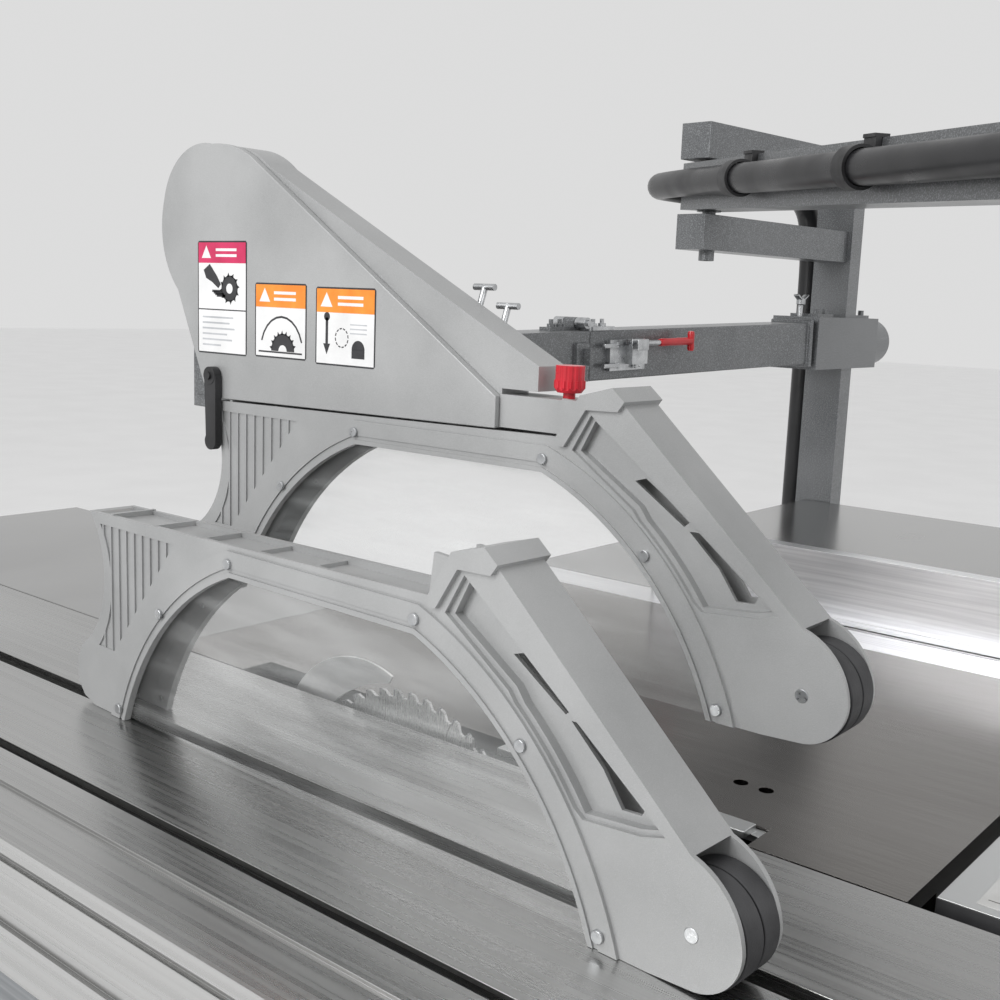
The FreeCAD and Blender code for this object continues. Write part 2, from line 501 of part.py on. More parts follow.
# ---------------------------------------------------------------- hood over the guard
def make_hood():
    top, half = S["table_top"], S["guard_width"] / 2 + 1
    rail = S["guard_raise"] + 197.5

    def lift(points):
        return [((a[0], a[1] + top), (b[0], b[1] + top)) if isinstance(a, tuple) else (a, b + top)
                for a, b in points]

    back = [((306, 351), (327, 397)), ((354, 452), (350, 490)), ((326, 529), (270, 542))]
    plate = lift([(-112, rail), (272, rail - 5), (284, rail + 10)] + back +
                 [((235, 538), (209, 528)), (-112, 320)])
    shoulder = lift([(-112, rail), (-112, rail + 33), (-150, rail + 33), (-150, 347), (190, 518),
                     ((225, 536), (262, 539)), ((315, 520), (341, 490)), ((345, 452), (318, 399)),
                     ((296, 350), (280, rail + 10)), (268, rail - 5)])
    cover = slab(plate, -half, -half + 8)
    feature("hood_left_cover", cover)
    body = slab(shoulder, -half + 8, half - 4)
    hollow = slab(lift([(-96, rail + 12), (-96, 352), (188, 496), ((225, 512), (250, 514)),
                        ((300, 508), (312, 480)), ((314, 440), (290, 395)), (258, rail + 12)]),
                  -half + 16, half - 12)
    low, high = rail + 1, rail + 28.5
    tab = slab(lift([(-112.4, low), (-173.5, low), (-191, high), (-112.4, high)]), -18.5, 18.5)
    tab = tab.fuse(slab(lift([(-108, low), (-120, low), (-120, high), (-108, high)]), half - 39.6, 18.5))
    body = body.cut(hollow).fuse(tab)
    feature("hood_body", body.cut(Part.makeCylinder(5.2, 60, V(0, -170, top + 280))))
    shoe = Part.makeBox(24, 56, 80, V(8.5, -28, -40))
    shoe.Placement = arm_frame(S["outer_arm_length"] + S["inner_arm_length"], level=True)
    centre = shoe.CenterOfMass
    reach = Part.makeBox(centre.x - 1 - half, 40, 50, V(half + 7, 220, centre.z - 25))
    side = Part.makeBox(20, centre.y - 200, 50, V(centre.x - 14, 220, centre.z - 25))
    plate = Part.makeBox(12, 210, 130, V(half - 4, 90, top + 300))
    feature("hood_bracket", shoe.fuse(reach).fuse(side).fuse(plate))
    bolts = []
    for y, z in ((-38, 384), (-66, 368)):
        shank = Part.makeCylinder(3, 16, V(half - 4, y, top + z), V(1, 0, 0))
        rise = Part.makeCylinder(3, 30, V(half + 10, y, top + z - 1), V(0.35, 0, 0.94))
        bar = Part.makeCylinder(3, 24, V(half + 20, y - 12, top + z + 26), V(0, 1, 0))
        bolts.append(shank.fuse(rise).fuse(bar))
    feature("hood_bolts", Part.makeCompound(bolts))
    knob = Part.makeCylinder(13, 6, V(0, -170, top + 331)).fuse(Part.makeCone(10, 13, 4, V(0, -170, top + 327)))
    knob = knob.fuse(Part.makeCylinder(12, 12, V(0, -170, top + 337)))
    flutes = [Part.makeCylinder(2.2, 30, V(13.6 * math.cos(a), -170 + 13.6 * math.sin(a), top + 325))
              for a in [i * math.pi / 7 for i in range(14)]]
    knob = knob.cut(Part.makeCompound(flutes))
    feature("guard_knob", knob.fuse(Part.makeCylinder(5, 58, V(0, -170, top + 270))))
    pivot = Part.makeCylinder(9, 9, V(-half - 9.5, 262, top + 312), V(1, 0, 0))
    blade = slab(lift([(252, 312), (270, 312), (268, 250), ((262, 236), (252, 244))]), -half - 9, -half - 1)
    feature("hood_lever", pivot.fuse(blade).fuse(Part.makeCylinder(4, 10, V(-half - 12, 262, top + 312), V(1, 0, 0))))


# ---------------------------------------------------------------- column, arm and boom
def make_column():
    top = "table_top + column_rise"
    post = tube(("column_x", "column_x + column_wide"), ("column_y", "column_y + column_deep"), ("12", top), "tube_wall")
    base = box(("column_x - 60", "column_x + column_wide + 60"), ("column_y - 60", "column_y + column_deep + 60"),
               ("0", "12"))
    bolts = [rod("6.5", "Z", ("-1", "13"), (x, y))
             for x in ("column_x - 40", "column_x + column_wide + 40")
             for y in ("column_y - 40", "column_y + column_deep + 40")]
    node("column", cut(fuse(post, base), *bolts))
    mid, height = "column_y + column_deep / 2", "table_top + arm_rise"
    sleeve = cut(box(("column_x - 144", "column_x + 146"), (f"{mid} - 50", f"{mid} + 50"),
                     (f"{height} - 52", f"{height} + 52")),
                 box(("column_x - 0.4", "column_x + column_wide + 0.4"),
                     ("column_y - 0.4", "column_y + column_deep + 0.4"), (f"{height} - 60", f"{height} + 60")))
    plates = [box((x, f"{x} + 70"), (f"{mid} - 30", f"{mid} + 30"), (f"{height} + 52", f"{height} + 58"))
              for x in ("column_x - 110", "column_x + 70")]
    spigot = cut(rod("spigot_radius", "X", ("column_x + 140", "column_x + 146 + spigot_length"), (mid, height)),
                 rod("spigot_radius - 3", "X", ("column_x + 150", "column_x + 147 + spigot_length"), (mid, height)))
    screws = [rod("6", "Z", (f"{height} + 58", f"{height} + 68"), (x, f"{mid} - 18"))
              for x in ("column_x - 95", "column_x - 55", "column_x + 85", "column_x + 125")]
    node("arm_clamp", fuse(sleeve, spigot, *plates, *screws))


def arm_frame(distance, level=False):
    """A place on the main arm's axis, at a distance from the column clamp, with X pointing inwards."""
    yaw = FreeCAD.Rotation(V(0, 0, 1), 180 - S["arm_turn"])
    turn = yaw * FreeCAD.Rotation(V(0, 1, 0), S["arm_dip"])
    start = V(S["column_x"] - 144, S["column_y"] + S["column_deep"] / 2, S["table_top"] + S["arm_rise"])
    return FreeCAD.Placement(start + turn.multVec(V(distance, 0, 0)), yaw if level else turn)


def hollow_bar(length, size, start=0.0):
    """A closed square tube lying along +X from start, centred on the axis."""
    wall = S["tube_wall"]
    skin = Part.makeBox(length, size, size, V(start, -size / 2, -size / 2))
    core = Part.makeBox(length - 2 * wall, size - 2 * wall, size - 2 * wall,
                        V(start + wall, wall - size / 2, wall - size / 2))
    return skin.cut(core)


def make_arm():
    size, outer, inner = S["arm_size"], S["outer_arm_length"], S["inner_arm_length"]
    half, gap, stand_off = size / 2, 2.0, 6
    tube_outer = hollow_bar(outer - stand_off, size)
    tube_outer = tube_outer.fuse(Part.makeBox(12, size + 12, size + 12, V(0, -half - 6, -half - 6)))
    feature("outer_arm", tube_outer, arm_frame(stand_off))
    bar = hollow_bar(inner - gap, size, gap)
    axis, leaf_thick, pin_radius = half + 12, 6, 5

    def knuckle(y_from, y_to):
        return Part.makeCylinder(9, y_to - y_from, V(0, y_from, axis), V(0, 1, 0))

    def stud(x, y):
        nut = Part.makeCylinder(6.5, 5, V(x, y, half + leaf_thick))
        return nut.fuse(Part.makeCylinder(3.5, 12, V(x, y, half + leaf_thick)))

    fixed = Part.makeBox(53.5, size - 8, leaf_thick, V(-64, 4 - half, half + 0.1))
    for side in (-1, 1):
        low, high = sorted((side * 13, side * 34))
        fixed = fixed.fuse(knuckle(low, high)).fuse(Part.makeBox(10, high - low, 14, V(-14, low, half + 0.1)))
    fixed = fixed.fuse(Part.makeCylinder(pin_radius, size - 4, V(0, 2 - half, axis), V(0, 1, 0)))
    for side in (-1, 1):
        fixed = fixed.fuse(stud(-26, side * 22)).fuse(stud(-48, side * 22))
    feature("hinge_pin_leaf", fixed, arm_frame(outer))
    moving = knuckle(-12, 12).fuse(Part.makeBox(60, 24, leaf_thick, V(4, -12, half)))
    moving = moving.fuse(Part.makeBox(8, 24, 14, V(2, -12, half + 1)))
    moving = moving.cut(Part.makeCylinder(pin_radius + 0.06, size, V(0, -half, axis), V(0, 1, 0)))
    keeper = Part.makeBox(30, 6, 44, V(8, half, -22)).fuse(Part.makeBox(8, 12, 26, V(12, half + 6, -13)))
    bar = bar.fuse(moving).fuse(keeper).fuse(stud(30, 0)).fuse(stud(50, 0))
    bar.Placement = arm_frame(outer)
    plate = Part.makeBox(16, 60, 190, V(-8, -30, -60))
    plate.Placement = arm_frame(outer + inner, level=True)
    feature("inner_arm", bar.fuse(plate))
    block = Part.makeBox(90, 8, 50, V(-130, half + 0.1, -25)).fuse(Part.makeBox(40, 14, 30, V(-120, half + 8, -15)))
    block = block.cut(Part.makeCylinder(4.06, 60, V(-100, half + 15, -30)))
    feature("toggle_base", block, arm_frame(outer))
    lever = Part.makeCylinder(4, 44, V(-100, half + 15, -22)).fuse(Part.makeBox(10, 12, 6, V(-105, half + 15, 16)))
    lever = lever.fuse(Part.makeCylinder(4, 90, V(-100, half + 27, 19), V(-1, 0, 0)))
    lever = lever.fuse(Part.makeCylinder(9, 92, V(-150, half + 27, 19), V(-1, 0, 0)))
    feature("toggle_lever", lever, arm_frame(outer))


def make_fork():
    mid = S["column_y"] + S["column_deep"] / 2
    turn = math.degrees(math.atan2(S["pivot_y"] - mid, S["column_x"] - S["pivot_x"]))
    reach = math.hypot(S["pivot_y"] - mid, S["column_x"] - S["pivot_x"])
    size = S["fork_size"]
    low = S["table_top"] + S["boom_low"] - 9 - size / 2
    high = S["table_top"] + S["boom_low"] + S["boom_size"] + 4 + size / 2
    heading = FreeCAD.Rotation(V(0, 0, 1), 180 - turn)
    arms = []
    column = Part.makeBox(60, 200, S["table_top"] + S["column_rise"], V(S["column_x"], S["column_y"] - 50, 0))
    for height in (low, high):
        bar = hollow_bar(reach + 57, size, -4)
        block = Part.makeBox(60, size, size, V(reach - 30, -size / 2, -size / 2))
        bar = bar.fuse(block)
        if height == low:
            bar = bar.fuse(Part.makeCylinder(14, 18, V(reach, 0, -size / 2 - 18)))
        bar = bar.cut(Part.makeCylinder(12.06, 200, V(reach, 0, -100)))
        bar.Placement = FreeCAD.Placement(V(S["column_x"], mid, height), heading)
        arms.append(bar.cut(column))
    feature("boom_fork", Part.makeCompound(arms))


def make_boom():
    size, length = S["boom_size"], S["boom_length"]
    base = S["table_top"] + S["boom_low"]
    seat = FreeCAD.Placement(V(S["pivot_x"], S["pivot_y"], base), FreeCAD.Rotation(V(0, 0, 1), S["boom_turn"]))
    droop = FreeCAD.Placement(V(0, 0, size / 2), FreeCAD.Rotation(V(0, 1, 0), S["boom_dip"]))
    droop = droop.multiply(FreeCAD.Placement(V(0, 0, -size / 2), FreeCAD.Rotation()))
    lean = seat.multiply(droop)
    skin = Part.makeBox(length + 36, size, size, V(-36, -size / 2, 0))
    beam = skin.cut(Part.makeBox(length + 14, size - 8, size - 8, V(-18, -size / 2 + 4, 4)))
    beam.Placement = droop
    pin = Part.makeCylinder(12, 200, V(0, 0, -60))
    hub = Part.makeCylinder(22, size + 4, V(0, 0, -2))
    bored = beam.fuse(hub).cut(Part.makeCylinder(12.02, 220, V(0, 0, -70)))
    feature("boom", Part.makeCompound([bored, pin]), seat)
    side = -1
    wide = size / 2 + S["hose_radius"] + 1
    straight = length - 120
    route = [V(straight, side * wide, 44), V(0, side * wide, 44), V(-118, side * (wide - 2), 42),
             V(-128, 10, 36), V(-100, 62, 30)]
    feature("boom_hose", bent_tube(route, S["hose_radius"]), lean)
    clips = []
    for along in (250, 620, 1010, 1400):
        wrap = Part.makeCylinder(S["hose_radius"] + 5, 30, V(along, side * wide, 44), V(1, 0, 0))
        wrap = wrap.cut(Part.makeCylinder(S["hose_radius"] + 0.3, 32, V(along - 1, side * wide, 44), V(1, 0, 0)))
        strap = Part.makeBox(30, 22, 5, V(along, -size / 2 - 12, size + 0.1))
        ear = Part.makeBox(30, 9, 24, V(along, -size / 2 - 10, size - 20)).cut(
            Part.makeCylinder(S["hose_radius"] + 0.3, 32, V(along - 1, side * wide, 44), V(1, 0, 0)))
        clips.append(wrap.fuse(ear.cut(skin)).fuse(strap).cut(skin))
    feature("hose_clips", Part.makeCompound(clips), lean)
    tip = length - 90
    hang = seat.multiply(FreeCAD.Placement(V(0, 0, -tip * math.tan(math.radians(S["boom_dip"]))), FreeCAD.Rotation()))
    stem = Part.makeCylinder(16, 60, V(tip, 0, -61.2))
    case = Part.makeBox(90, 150, 170, V(tip - 45, -75, -231))
    case = case.makeFillet(10, [e for e in case.Edges if abs(e.Length - 170) < 1])
    wells = [Part.makeCylinder(14.5, 20, V(tip + 26, y, z), V(1, 0, 0)) for y, z in ((-32, -120), (32, -120))]
    case = case.fuse(stem)
    for well in wells:
        case = case.cut(well)
    feature("pendant_box", case, hang)
    start = Part.makeCylinder(14, 18, V(tip + 33, -32, -120), V(1, 0, 0))
    feature("start_button", start, hang)
    stop = Part.makeCylinder(14, 20, V(tip + 33, 32, -120), V(1, 0, 0)).fuse(
        Part.makeCylinder(20, 12, V(tip + 53, 32, -120), V(1, 0, 0)))
    feature("stop_button", stop, hang)
    side_y = S["column_y"] + S["column_deep"] / 2 + 52 + S["hose_radius"]
    side_x = S["column_x"] + 64
    drop = [V(S["pivot_x"] + 156, side_y + 14, base + 42), V(side_x - 254, side_y + 30, base + 74),
            V(side_x - 104, side_y + 26, base + 81), V(side_x - 8, side_y + 14, base + 59),
            V(side_x, side_y + 2, base - 31), V(side_x, side_y, base - 431), V(side_x + 2, side_y + 2, 420),
            V(side_x, side_y, 60)]
    feature("column_hose", bent_tube(drop, S["hose_radius"]))


def bent_tube(points, radius):
    """A round tube along straight runs joined by tangent arcs."""
    edges, here = [], points[0]
    for before, corner, after in zip(points, points[1:], points[2:]):
        first, second = corner - before, after - corner
        turn = first.getAngle(second)
        bend = 0.45 * min(first.Length, second.Length) / math.tan(turn / 2)
        back = bend * math.tan(turn / 2)
        enter = corner - V(first).normalize() * back
        leave = corner + V(second).normalize() * back
        inward = (V(second).normalize() - V(first).normalize()).normalize()
        centre = corner + inward * (bend / math.cos(turn / 2))
        middle = centre - inward * bend
        edges.append(Part.LineSegment(here, enter).toShape())
        edges.append(Part.Arc(enter, middle, leave).toShape())
        here = leave
    edges.append(Part.LineSegment(here, points[-1]).toShape())
    path = Part.Wire(edges)
    start = (points[1] - points[0]).normalize()
    ring = Part.Wire([Part.Circle(points[0], start, radius).toShape()])
    solid = path.makePipeShell([ring], True, False)
    print(f"tube length {path.Length:.0f} volume ratio {solid.Volume / (math.pi * radius ** 2 * path.Length):.4f}")
    return solid


# ---------------------------------------------------------------- saw unit inside the cabinet
def toothed_disc(radius, bore, thick, teeth, kerf_depth):
    """A saw blade with raked teeth and expansion slots."""
    points = []
    step = 2 * math.pi / teeth
    profile = ((radius, 0), (radius - 1, 0.35), (radius - kerf_depth, 0.62), (radius - kerf_depth, 0.9))
    for i in range(teeth):
        for r, share in profile:
            angle = (i + share) * step
            points.append((r * math.cos(angle), r * math.sin(angle)))
    disc = slab(points, -thick / 2, thick / 2)
    disc = disc.cut(Part.makeCylinder(bore, 20, V(-10, 0, 0), V(1, 0, 0)))
    for i in range(4):
        slit = Part.makeBox(20, 1.2, radius * 0.2, V(-10, -0.6, radius * 0.82))
        slit.rotate(V(0, 0, 0), V(1, 0, 0), 22 + 90 * i)
        disc = disc.cut(slit)
    return disc


def make_saw_unit():
    top, arbor = S["table_top"], S["table_top"] - S["blade_drop"]
    motor_z, motor_y = S["table_top"] - S["motor_drop"], S["motor_shift"]
    blade = toothed_disc(S["blade_radius"], 15.02, S["blade_kerf"], 48, 7)
    feature("saw_blade", blade, FreeCAD.Placement(V(0, 0, arbor), FreeCAD.Rotation()))
    half_kerf = S["blade_kerf"] / 2
    shaft = Part.makeCylinder(15, 53, V(-7.5, 0, arbor), V(1, 0, 0))
    flange = Part.makeCylinder(40, 8, V(half_kerf, 0, arbor), V(1, 0, 0))
    nut = Part.makeCylinder(36, 5, V(-half_kerf - 5, 0, arbor), V(1, 0, 0))
    pulley = Part.makeCylinder(20, 14, V(32, 0, arbor), V(1, 0, 0)).cut(
        Part.makeTorus(22, 4, V(39, 0, arbor), V(1, 0, 0)))
    feature("arbor", shaft.fuse(flange).fuse(nut).fuse(pulley))
    plate = slab([(-150, top - 520), (190, top - 520), (190, top - 200), (80, top - 84), (-80, top - 84),
                  (-150, top - 150)], 14, 28)
    plate = plate.cut(Part.makeCylinder(15.06, 60, V(0, 0, arbor), V(1, 0, 0)))
    plate = plate.cut(Part.makeCylinder(11.06, 60, V(0, motor_y, motor_z), V(1, 0, 0)))
    knife_lug = Part.makeBox(12, 40, 60, V(2, S["blade_radius"] - 5, top - 195))
    feature("saw_carriage", plate.fuse(knife_lug))
    motor = Part.makeCylinder(S["motor_radius"], 180, V(62, motor_y, motor_z), V(1, 0, 0))
    motor = motor.fuse(Part.makeCylinder(S["motor_radius"] - 12, 24, V(242, motor_y, motor_z), V(1, 0, 0)))
    lugs = [Part.makeBox(34, 16, 40, V(28.1, motor_y + s * 66 - 8, motor_z - 20)) for s in (-1, 1)]
    feature("motor", motor.fuse(lugs[0]).fuse(lugs[1]))
    spindle = Part.makeCylinder(11, 50, V(11, motor_y, motor_z), V(1, 0, 0))
    sheave = Part.makeCylinder(36, 14, V(32, motor_y, motor_z), V(1, 0, 0)).cut(
        Part.makeTorus(38, 4, V(39, motor_y, motor_z), V(1, 0, 0)))
    feature("motor_pulley", spindle.fuse(sheave))
    span = V(0, motor_y, motor_z - arbor)
    tilt = math.degrees(math.atan2(-span.y, span.z)) + 180
    reach = span.Length

    def loop(small, large, width, x):
        """A belt's side outline round both pulleys, in its own upright frame."""
        lean = math.asin((large - small) / reach)
        c, s = math.cos(lean), math.sin(lean)
        return slab([(small * c, small * s), ((0, small), (-small * c, small * s)),
                     (-large * c, -reach + large * s), ((0, -reach - large), (large * c, -reach + large * s))],
                    x, x + width)

    band = loop(23.6, 39.6, 8, 35).cut(loop(20.4, 36.4, 10, 34))
    feature("drive_belt", band, FreeCAD.Placement(V(0, 0, arbor), FreeCAD.Rotation(V(1, 0, 0), tilt)))
    rails = [Part.makeBox(30, 26, 400, V(30, y, top - 510)) for y in (-150, 164)]
    tie = Part.makeBox(30, 340, 30, V(30, -150, top - 540))
    ribs = [Part.makeBox(12, 40, 120, V(48, y, top - 230)) for y in (-190, 190)]
    for y in (-162, 190):
        sector = Part.makeCylinder(232, 12, V(0, y, top), V(0, 1, 0)).cut(
            Part.makeCylinder(205, 14, V(0, y - 1, top), V(0, 1, 0)))
        ribs.append(sector.common(Part.makeBox(66, 12, 140, V(30, y, top - 240))))
    inner = S["blade_radius"] + 5

    def rim(angle, radius=inner):
        """A point round the arbor, at an angle above the feed direction."""
        return (radius * math.cos(math.radians(angle)), arbor + radius * math.sin(math.radians(angle)))

    knife = slab([rim(-30), (inner + 31, rim(-30)[1]), (inner + 23, top - 70), ((128, top + 30), rim(82, inner + 7)),
                  rim(80), (rim(25), rim(-30))], -1.3, 1.3)
    feature("riving_knife", knife.fuse(Part.makeBox(3.3, 40, 50, V(-1.3, inner - 4, top - 195))))
    scorer_z = top - S["scorer_drop"]
    scorer = toothed_disc(S["scorer_radius"], 10.02, 3.2, 24, 4)
    feature("scoring_blade", scorer.fuse(Part.makeCylinder(10.02, 35, V(-8, 0, 0), V(1, 0, 0))),
            FreeCAD.Placement(V(0, S["scorer_front"], scorer_z), FreeCAD.Rotation()))
    block = Part.makeBox(14, 60, 39, V(12, S["scorer_front"] - 30, scorer_z - 25))
    arm = Part.makeBox(28, 60, 30, V(20, S["scorer_front"] - 10, scorer_z - 55))
    shape = rails[0]
    for piece in (rails[1], tie, *ribs, block, arm):
        shape = shape.fuse(piece)
    feature("tilt_frame", shape.cut(Part.makeCylinder(10.08, 60, V(0, S["scorer_front"], scorer_z), V(1, 0, 0))))


def make_handwheels():
    for label, x, drop in (("rise_wheel", "300", 250), ("tilt_wheel", "150", 400)):
        z = f"table_top - {drop}"
        rim = doc.addObject("Part::Torus", part_name("Rim"))
        rim.Radius1, rim.Radius2 = 74, 9
        rim.Placement = FreeCAD.Placement(V(), TURNS["Y"])
        place(rim, x, "table_front - 50", z)
        hub = rod("20", "Y", ("table_front - 62", "table_front - 6"), (x, z))
        spokes = [box((f"{x} - 72", f"{x} + 72"), ("table_front - 56", "table_front - 46"), (f"{z} - 7", f"{z} + 7")),
                  box((f"{x} - 7", f"{x} + 7"), ("table_front - 56", "table_front - 46"), (f"{z} - 72", f"{z} + 72"))]
        knob = rod("11", "Y", ("table_front - 100", "table_front - 50"), (f"{x} + 60", z))
        node(label, fuse(rim, hub, knob, *spokes))


make_cabinet()
make_main_table()
make_side_tables()
make_fence()
make_slide()
make_guards()
make_hood()
make_column()
make_arm()
make_fork()
make_boom()
make_saw_unit()
make_handwheels()
doc.recompute()

problems = [o.Label for o in doc.Objects if {"Invalid", "Error"} & set(o.State)]
for piece in NODES:
    if piece.Shape.isNull() or not piece.Shape.isValid() or not piece.Shape.Solids:
        problems.append(piece.Label)
if problems:
    raise RuntimeError(f"these objects failed: {sorted(set(problems))}")
os.makedirs("parts", exist_ok=True)
for piece in NODES:
    piece.Shape.exportStep(f"parts/{piece.Label}.step")
print(len(NODES), "nodes")
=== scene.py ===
import json
import math

import bmesh
import bpy
from mathutils import Matrix, Vector


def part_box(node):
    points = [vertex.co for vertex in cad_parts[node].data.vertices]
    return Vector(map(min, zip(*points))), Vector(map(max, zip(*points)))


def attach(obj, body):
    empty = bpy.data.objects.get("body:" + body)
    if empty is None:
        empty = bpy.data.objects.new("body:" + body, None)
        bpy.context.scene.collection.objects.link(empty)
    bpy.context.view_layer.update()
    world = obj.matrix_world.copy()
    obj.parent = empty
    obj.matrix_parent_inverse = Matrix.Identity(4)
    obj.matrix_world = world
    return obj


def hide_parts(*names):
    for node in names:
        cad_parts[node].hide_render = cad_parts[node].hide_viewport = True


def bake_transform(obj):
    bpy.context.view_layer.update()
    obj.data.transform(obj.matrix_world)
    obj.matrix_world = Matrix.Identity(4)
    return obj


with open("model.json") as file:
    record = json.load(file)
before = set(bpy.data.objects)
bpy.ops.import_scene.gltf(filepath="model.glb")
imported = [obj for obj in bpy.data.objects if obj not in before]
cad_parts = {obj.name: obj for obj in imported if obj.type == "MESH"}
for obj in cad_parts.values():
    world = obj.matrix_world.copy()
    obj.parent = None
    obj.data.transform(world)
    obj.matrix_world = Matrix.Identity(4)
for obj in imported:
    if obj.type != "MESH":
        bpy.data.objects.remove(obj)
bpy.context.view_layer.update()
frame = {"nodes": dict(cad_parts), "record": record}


# ---------------------------------------------------------------- base cabinet and service door
# The cabinet is folded sheet steel, welded at the corners and powder-coated light grey with a
# fine orange-peel texture. A service door with pressed louvres hangs on pin hinges at its right.
class Finish:
    """A surface finish, grown from noise on the piece's own coordinates."""

    def __init__(self, name, roughness, metallic=0.0, coat=0.0):
        self.material = bpy.data.materials.new(name)
        self.material.use_nodes = True
        self.tree = self.material.node_tree
        self.shader = self.tree.nodes["Principled BSDF"]
        self.shader.inputs["Roughness"].default_value = roughness
        self.shader.inputs["Metallic"].default_value = metallic
        self.shader.inputs["Coat Weight"].default_value = coat
        self.place = self.add("ShaderNodeTexCoord").outputs["Object"]
        self.normal = None

    def add(self, kind):
        return self.tree.nodes.new(kind)

    def join(self, source, target):
        self.tree.links.new(source, target)

    def grain(self, scale, stretch=(1, 1, 1), detail=4.0):
        """Noise with this many cells a metre, drawn out along the axes whose stretch is small."""
        spread = self.add("ShaderNodeMapping")
        spread.inputs["Scale"].default_value = stretch
        self.join(self.place, spread.inputs["Vector"])
        noise = self.add("ShaderNodeTexNoise")
        noise.inputs["Scale"].default_value = scale
        noise.inputs["Detail"].default_value = detail
        self.join(spread.outputs["Vector"], noise.inputs["Vector"])
        return noise.outputs["Fac"]

    def between(self, value, low, high, first, last):
        """The value's range from low to high, turned into first to last."""
        span = self.add("ShaderNodeMapRange")
        for socket, number in zip(span.inputs[1:5], (low, high, first, last)):
            socket.default_value = number
        self.join(value, span.inputs[0])
        return span.outputs[0]

    def shades(self, value, dark, light, low=0.35, high=0.65):
        """A colour that runs from dark to light with the value."""
        ramp = self.add("ShaderNodeValToRGB")
        ramp.color_ramp.elements[0].position = low
        ramp.color_ramp.elements[0].color = (*dark, 1)
        ramp.color_ramp.elements[1].position = high
        ramp.color_ramp.elements[1].color = (*light, 1)
        self.join(value, ramp.inputs[0])
        return ramp.outputs[0]

    def blend(self, share, first, second):
        """Two colours mixed by a share; either may be a plain colour."""
        mix = self.add("ShaderNodeMix")
        mix.data_type = "RGBA"
        for colour, socket in ((first, mix.inputs[6]), (second, mix.inputs[7])):
            if isinstance(colour, tuple):
                socket.default_value = (*colour, 1)
            else:
                self.join(colour, socket)
        self.join(share, mix.inputs[0])
        return mix.outputs[2]

    def paint(self, colour):
        self.join(colour, self.shader.inputs["Base Color"])

    def gloss(self, value, low, high):
        """Roughness that wanders between low and high with the value."""
        self.join(self.between(value, 0.3, 0.7, low, high), self.shader.inputs["Roughness"])

    def relief(self, value, strength, depth=0.001):
        bump = self.add("ShaderNodeBump")
        bump.inputs["Strength"].default_value = strength
        bump.inputs["Distance"].default_value = depth
        self.join(value, bump.inputs["Height"])
        if self.normal:
            self.join(self.normal, bump.inputs["Normal"])
        self.normal = bump.outputs["Normal"]
        self.join(self.normal, self.shader.inputs["Normal"])


def sharp_edge_group():
    """Weld the imported corners and shade smooth up to the angle of a real edge."""
    group = bpy.data.node_groups.new("clean_edges", "GeometryNodeTree")
    group.interface.new_socket("Mesh", in_out="INPUT", socket_type="NodeSocketGeometry")
    group.interface.new_socket("Mesh", in_out="OUTPUT", socket_type="NodeSocketGeometry")
    nodes, links = group.nodes, group.links
    source, result = nodes.new("NodeGroupInput"), nodes.new("NodeGroupOutput")
    weld = nodes.new("GeometryNodeMergeByDistance")
    weld.inputs["Distance"].default_value = 1e-5
    drop = nodes.new("GeometryNodeRemoveAttribute")
    drop.inputs["Name"].default_value = "custom_normal"
    faces, sharp = nodes.new("GeometryNodeSetShadeSmooth"), nodes.new("GeometryNodeSetShadeSmooth")
    sharp.domain = "EDGE"
    angle = nodes.new("GeometryNodeInputMeshEdgeAngle")
    under = nodes.new("FunctionNodeCompare")
    under.operation = "LESS_THAN"
    under.inputs["B"].default_value = math.radians(30)
    links.new(source.outputs[0], weld.inputs["Geometry"])
    links.new(weld.outputs[0], drop.inputs["Geometry"])
    links.new(drop.outputs[0], faces.inputs["Geometry"])
    links.new(faces.outputs[0], sharp.inputs["Geometry"])
    links.new(angle.outputs["Unsigned Angle"], under.inputs["A"])
    links.new(under.outputs[0], sharp.inputs["Shade Smooth"])
    links.new(sharp.outputs[0], result.inputs[0])
    return group


clean_edges = sharp_edge_group()


def dress(finish, names, edge=0.0008):
    """Give CAD nodes a finish, and break their sharp edges by a small radius."""
    for name in names:
        piece = frame["nodes"][name]
        for held in piece.material_slots:
            held.material = finish.material
        clean = piece.modifiers.new("clean", "NODES")
        clean.node_group = clean_edges
        if edge:
            flat = piece.modifiers.new("flat", "DECIMATE")
            flat.decimate_type = "DISSOLVE"
            flat.angle_limit = math.radians(0.5)
            radius = piece.modifiers.new("radius", "BEVEL")
            radius.width = edge
            radius.segments = 2
            radius.limit_method = "ANGLE"
            radius.angle_limit = math.radians(32)
            radius.harden_normals = True


def lay(name, shape, finishes, body, smooth=True):
    """Turn a bmesh into a piece that rides on a body and takes a slot's finish."""
    mesh = bpy.data.meshes.new(name)
    bmesh.ops.recalc_face_normals(shape, faces=shape.faces)
    shape.to_mesh(mesh)
    shape.free()
    for face in mesh.polygons:
        face.use_smooth = smooth
    if smooth:
        mesh.set_sharp_from_angle(angle=math.radians(32))
    for finish in finishes:
        mesh.materials.append(finish.material)
    piece = bpy.data.objects.new(name, mesh)
    bpy.context.scene.collection.objects.link(piece)
    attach(piece, body)
    return piece


def block(shape, low, high, edge=0.0005, place=None, finish=0):
    """Add a block with broken edges between two corners."""
    part = bmesh.new()
    bmesh.ops.create_cube(part, size=1)
    low, high = Vector(low), Vector(high)
    for vert in part.verts:
        vert.co = Vector([low[i] + (vert.co[i] + 0.5) * (high[i] - low[i]) for i in range(3)])
    if edge:
        bmesh.ops.bevel(part, geom=part.edges[:], offset=edge, segments=2, profile=0.5, affect="EDGES")
    merge(shape, part, place, finish)


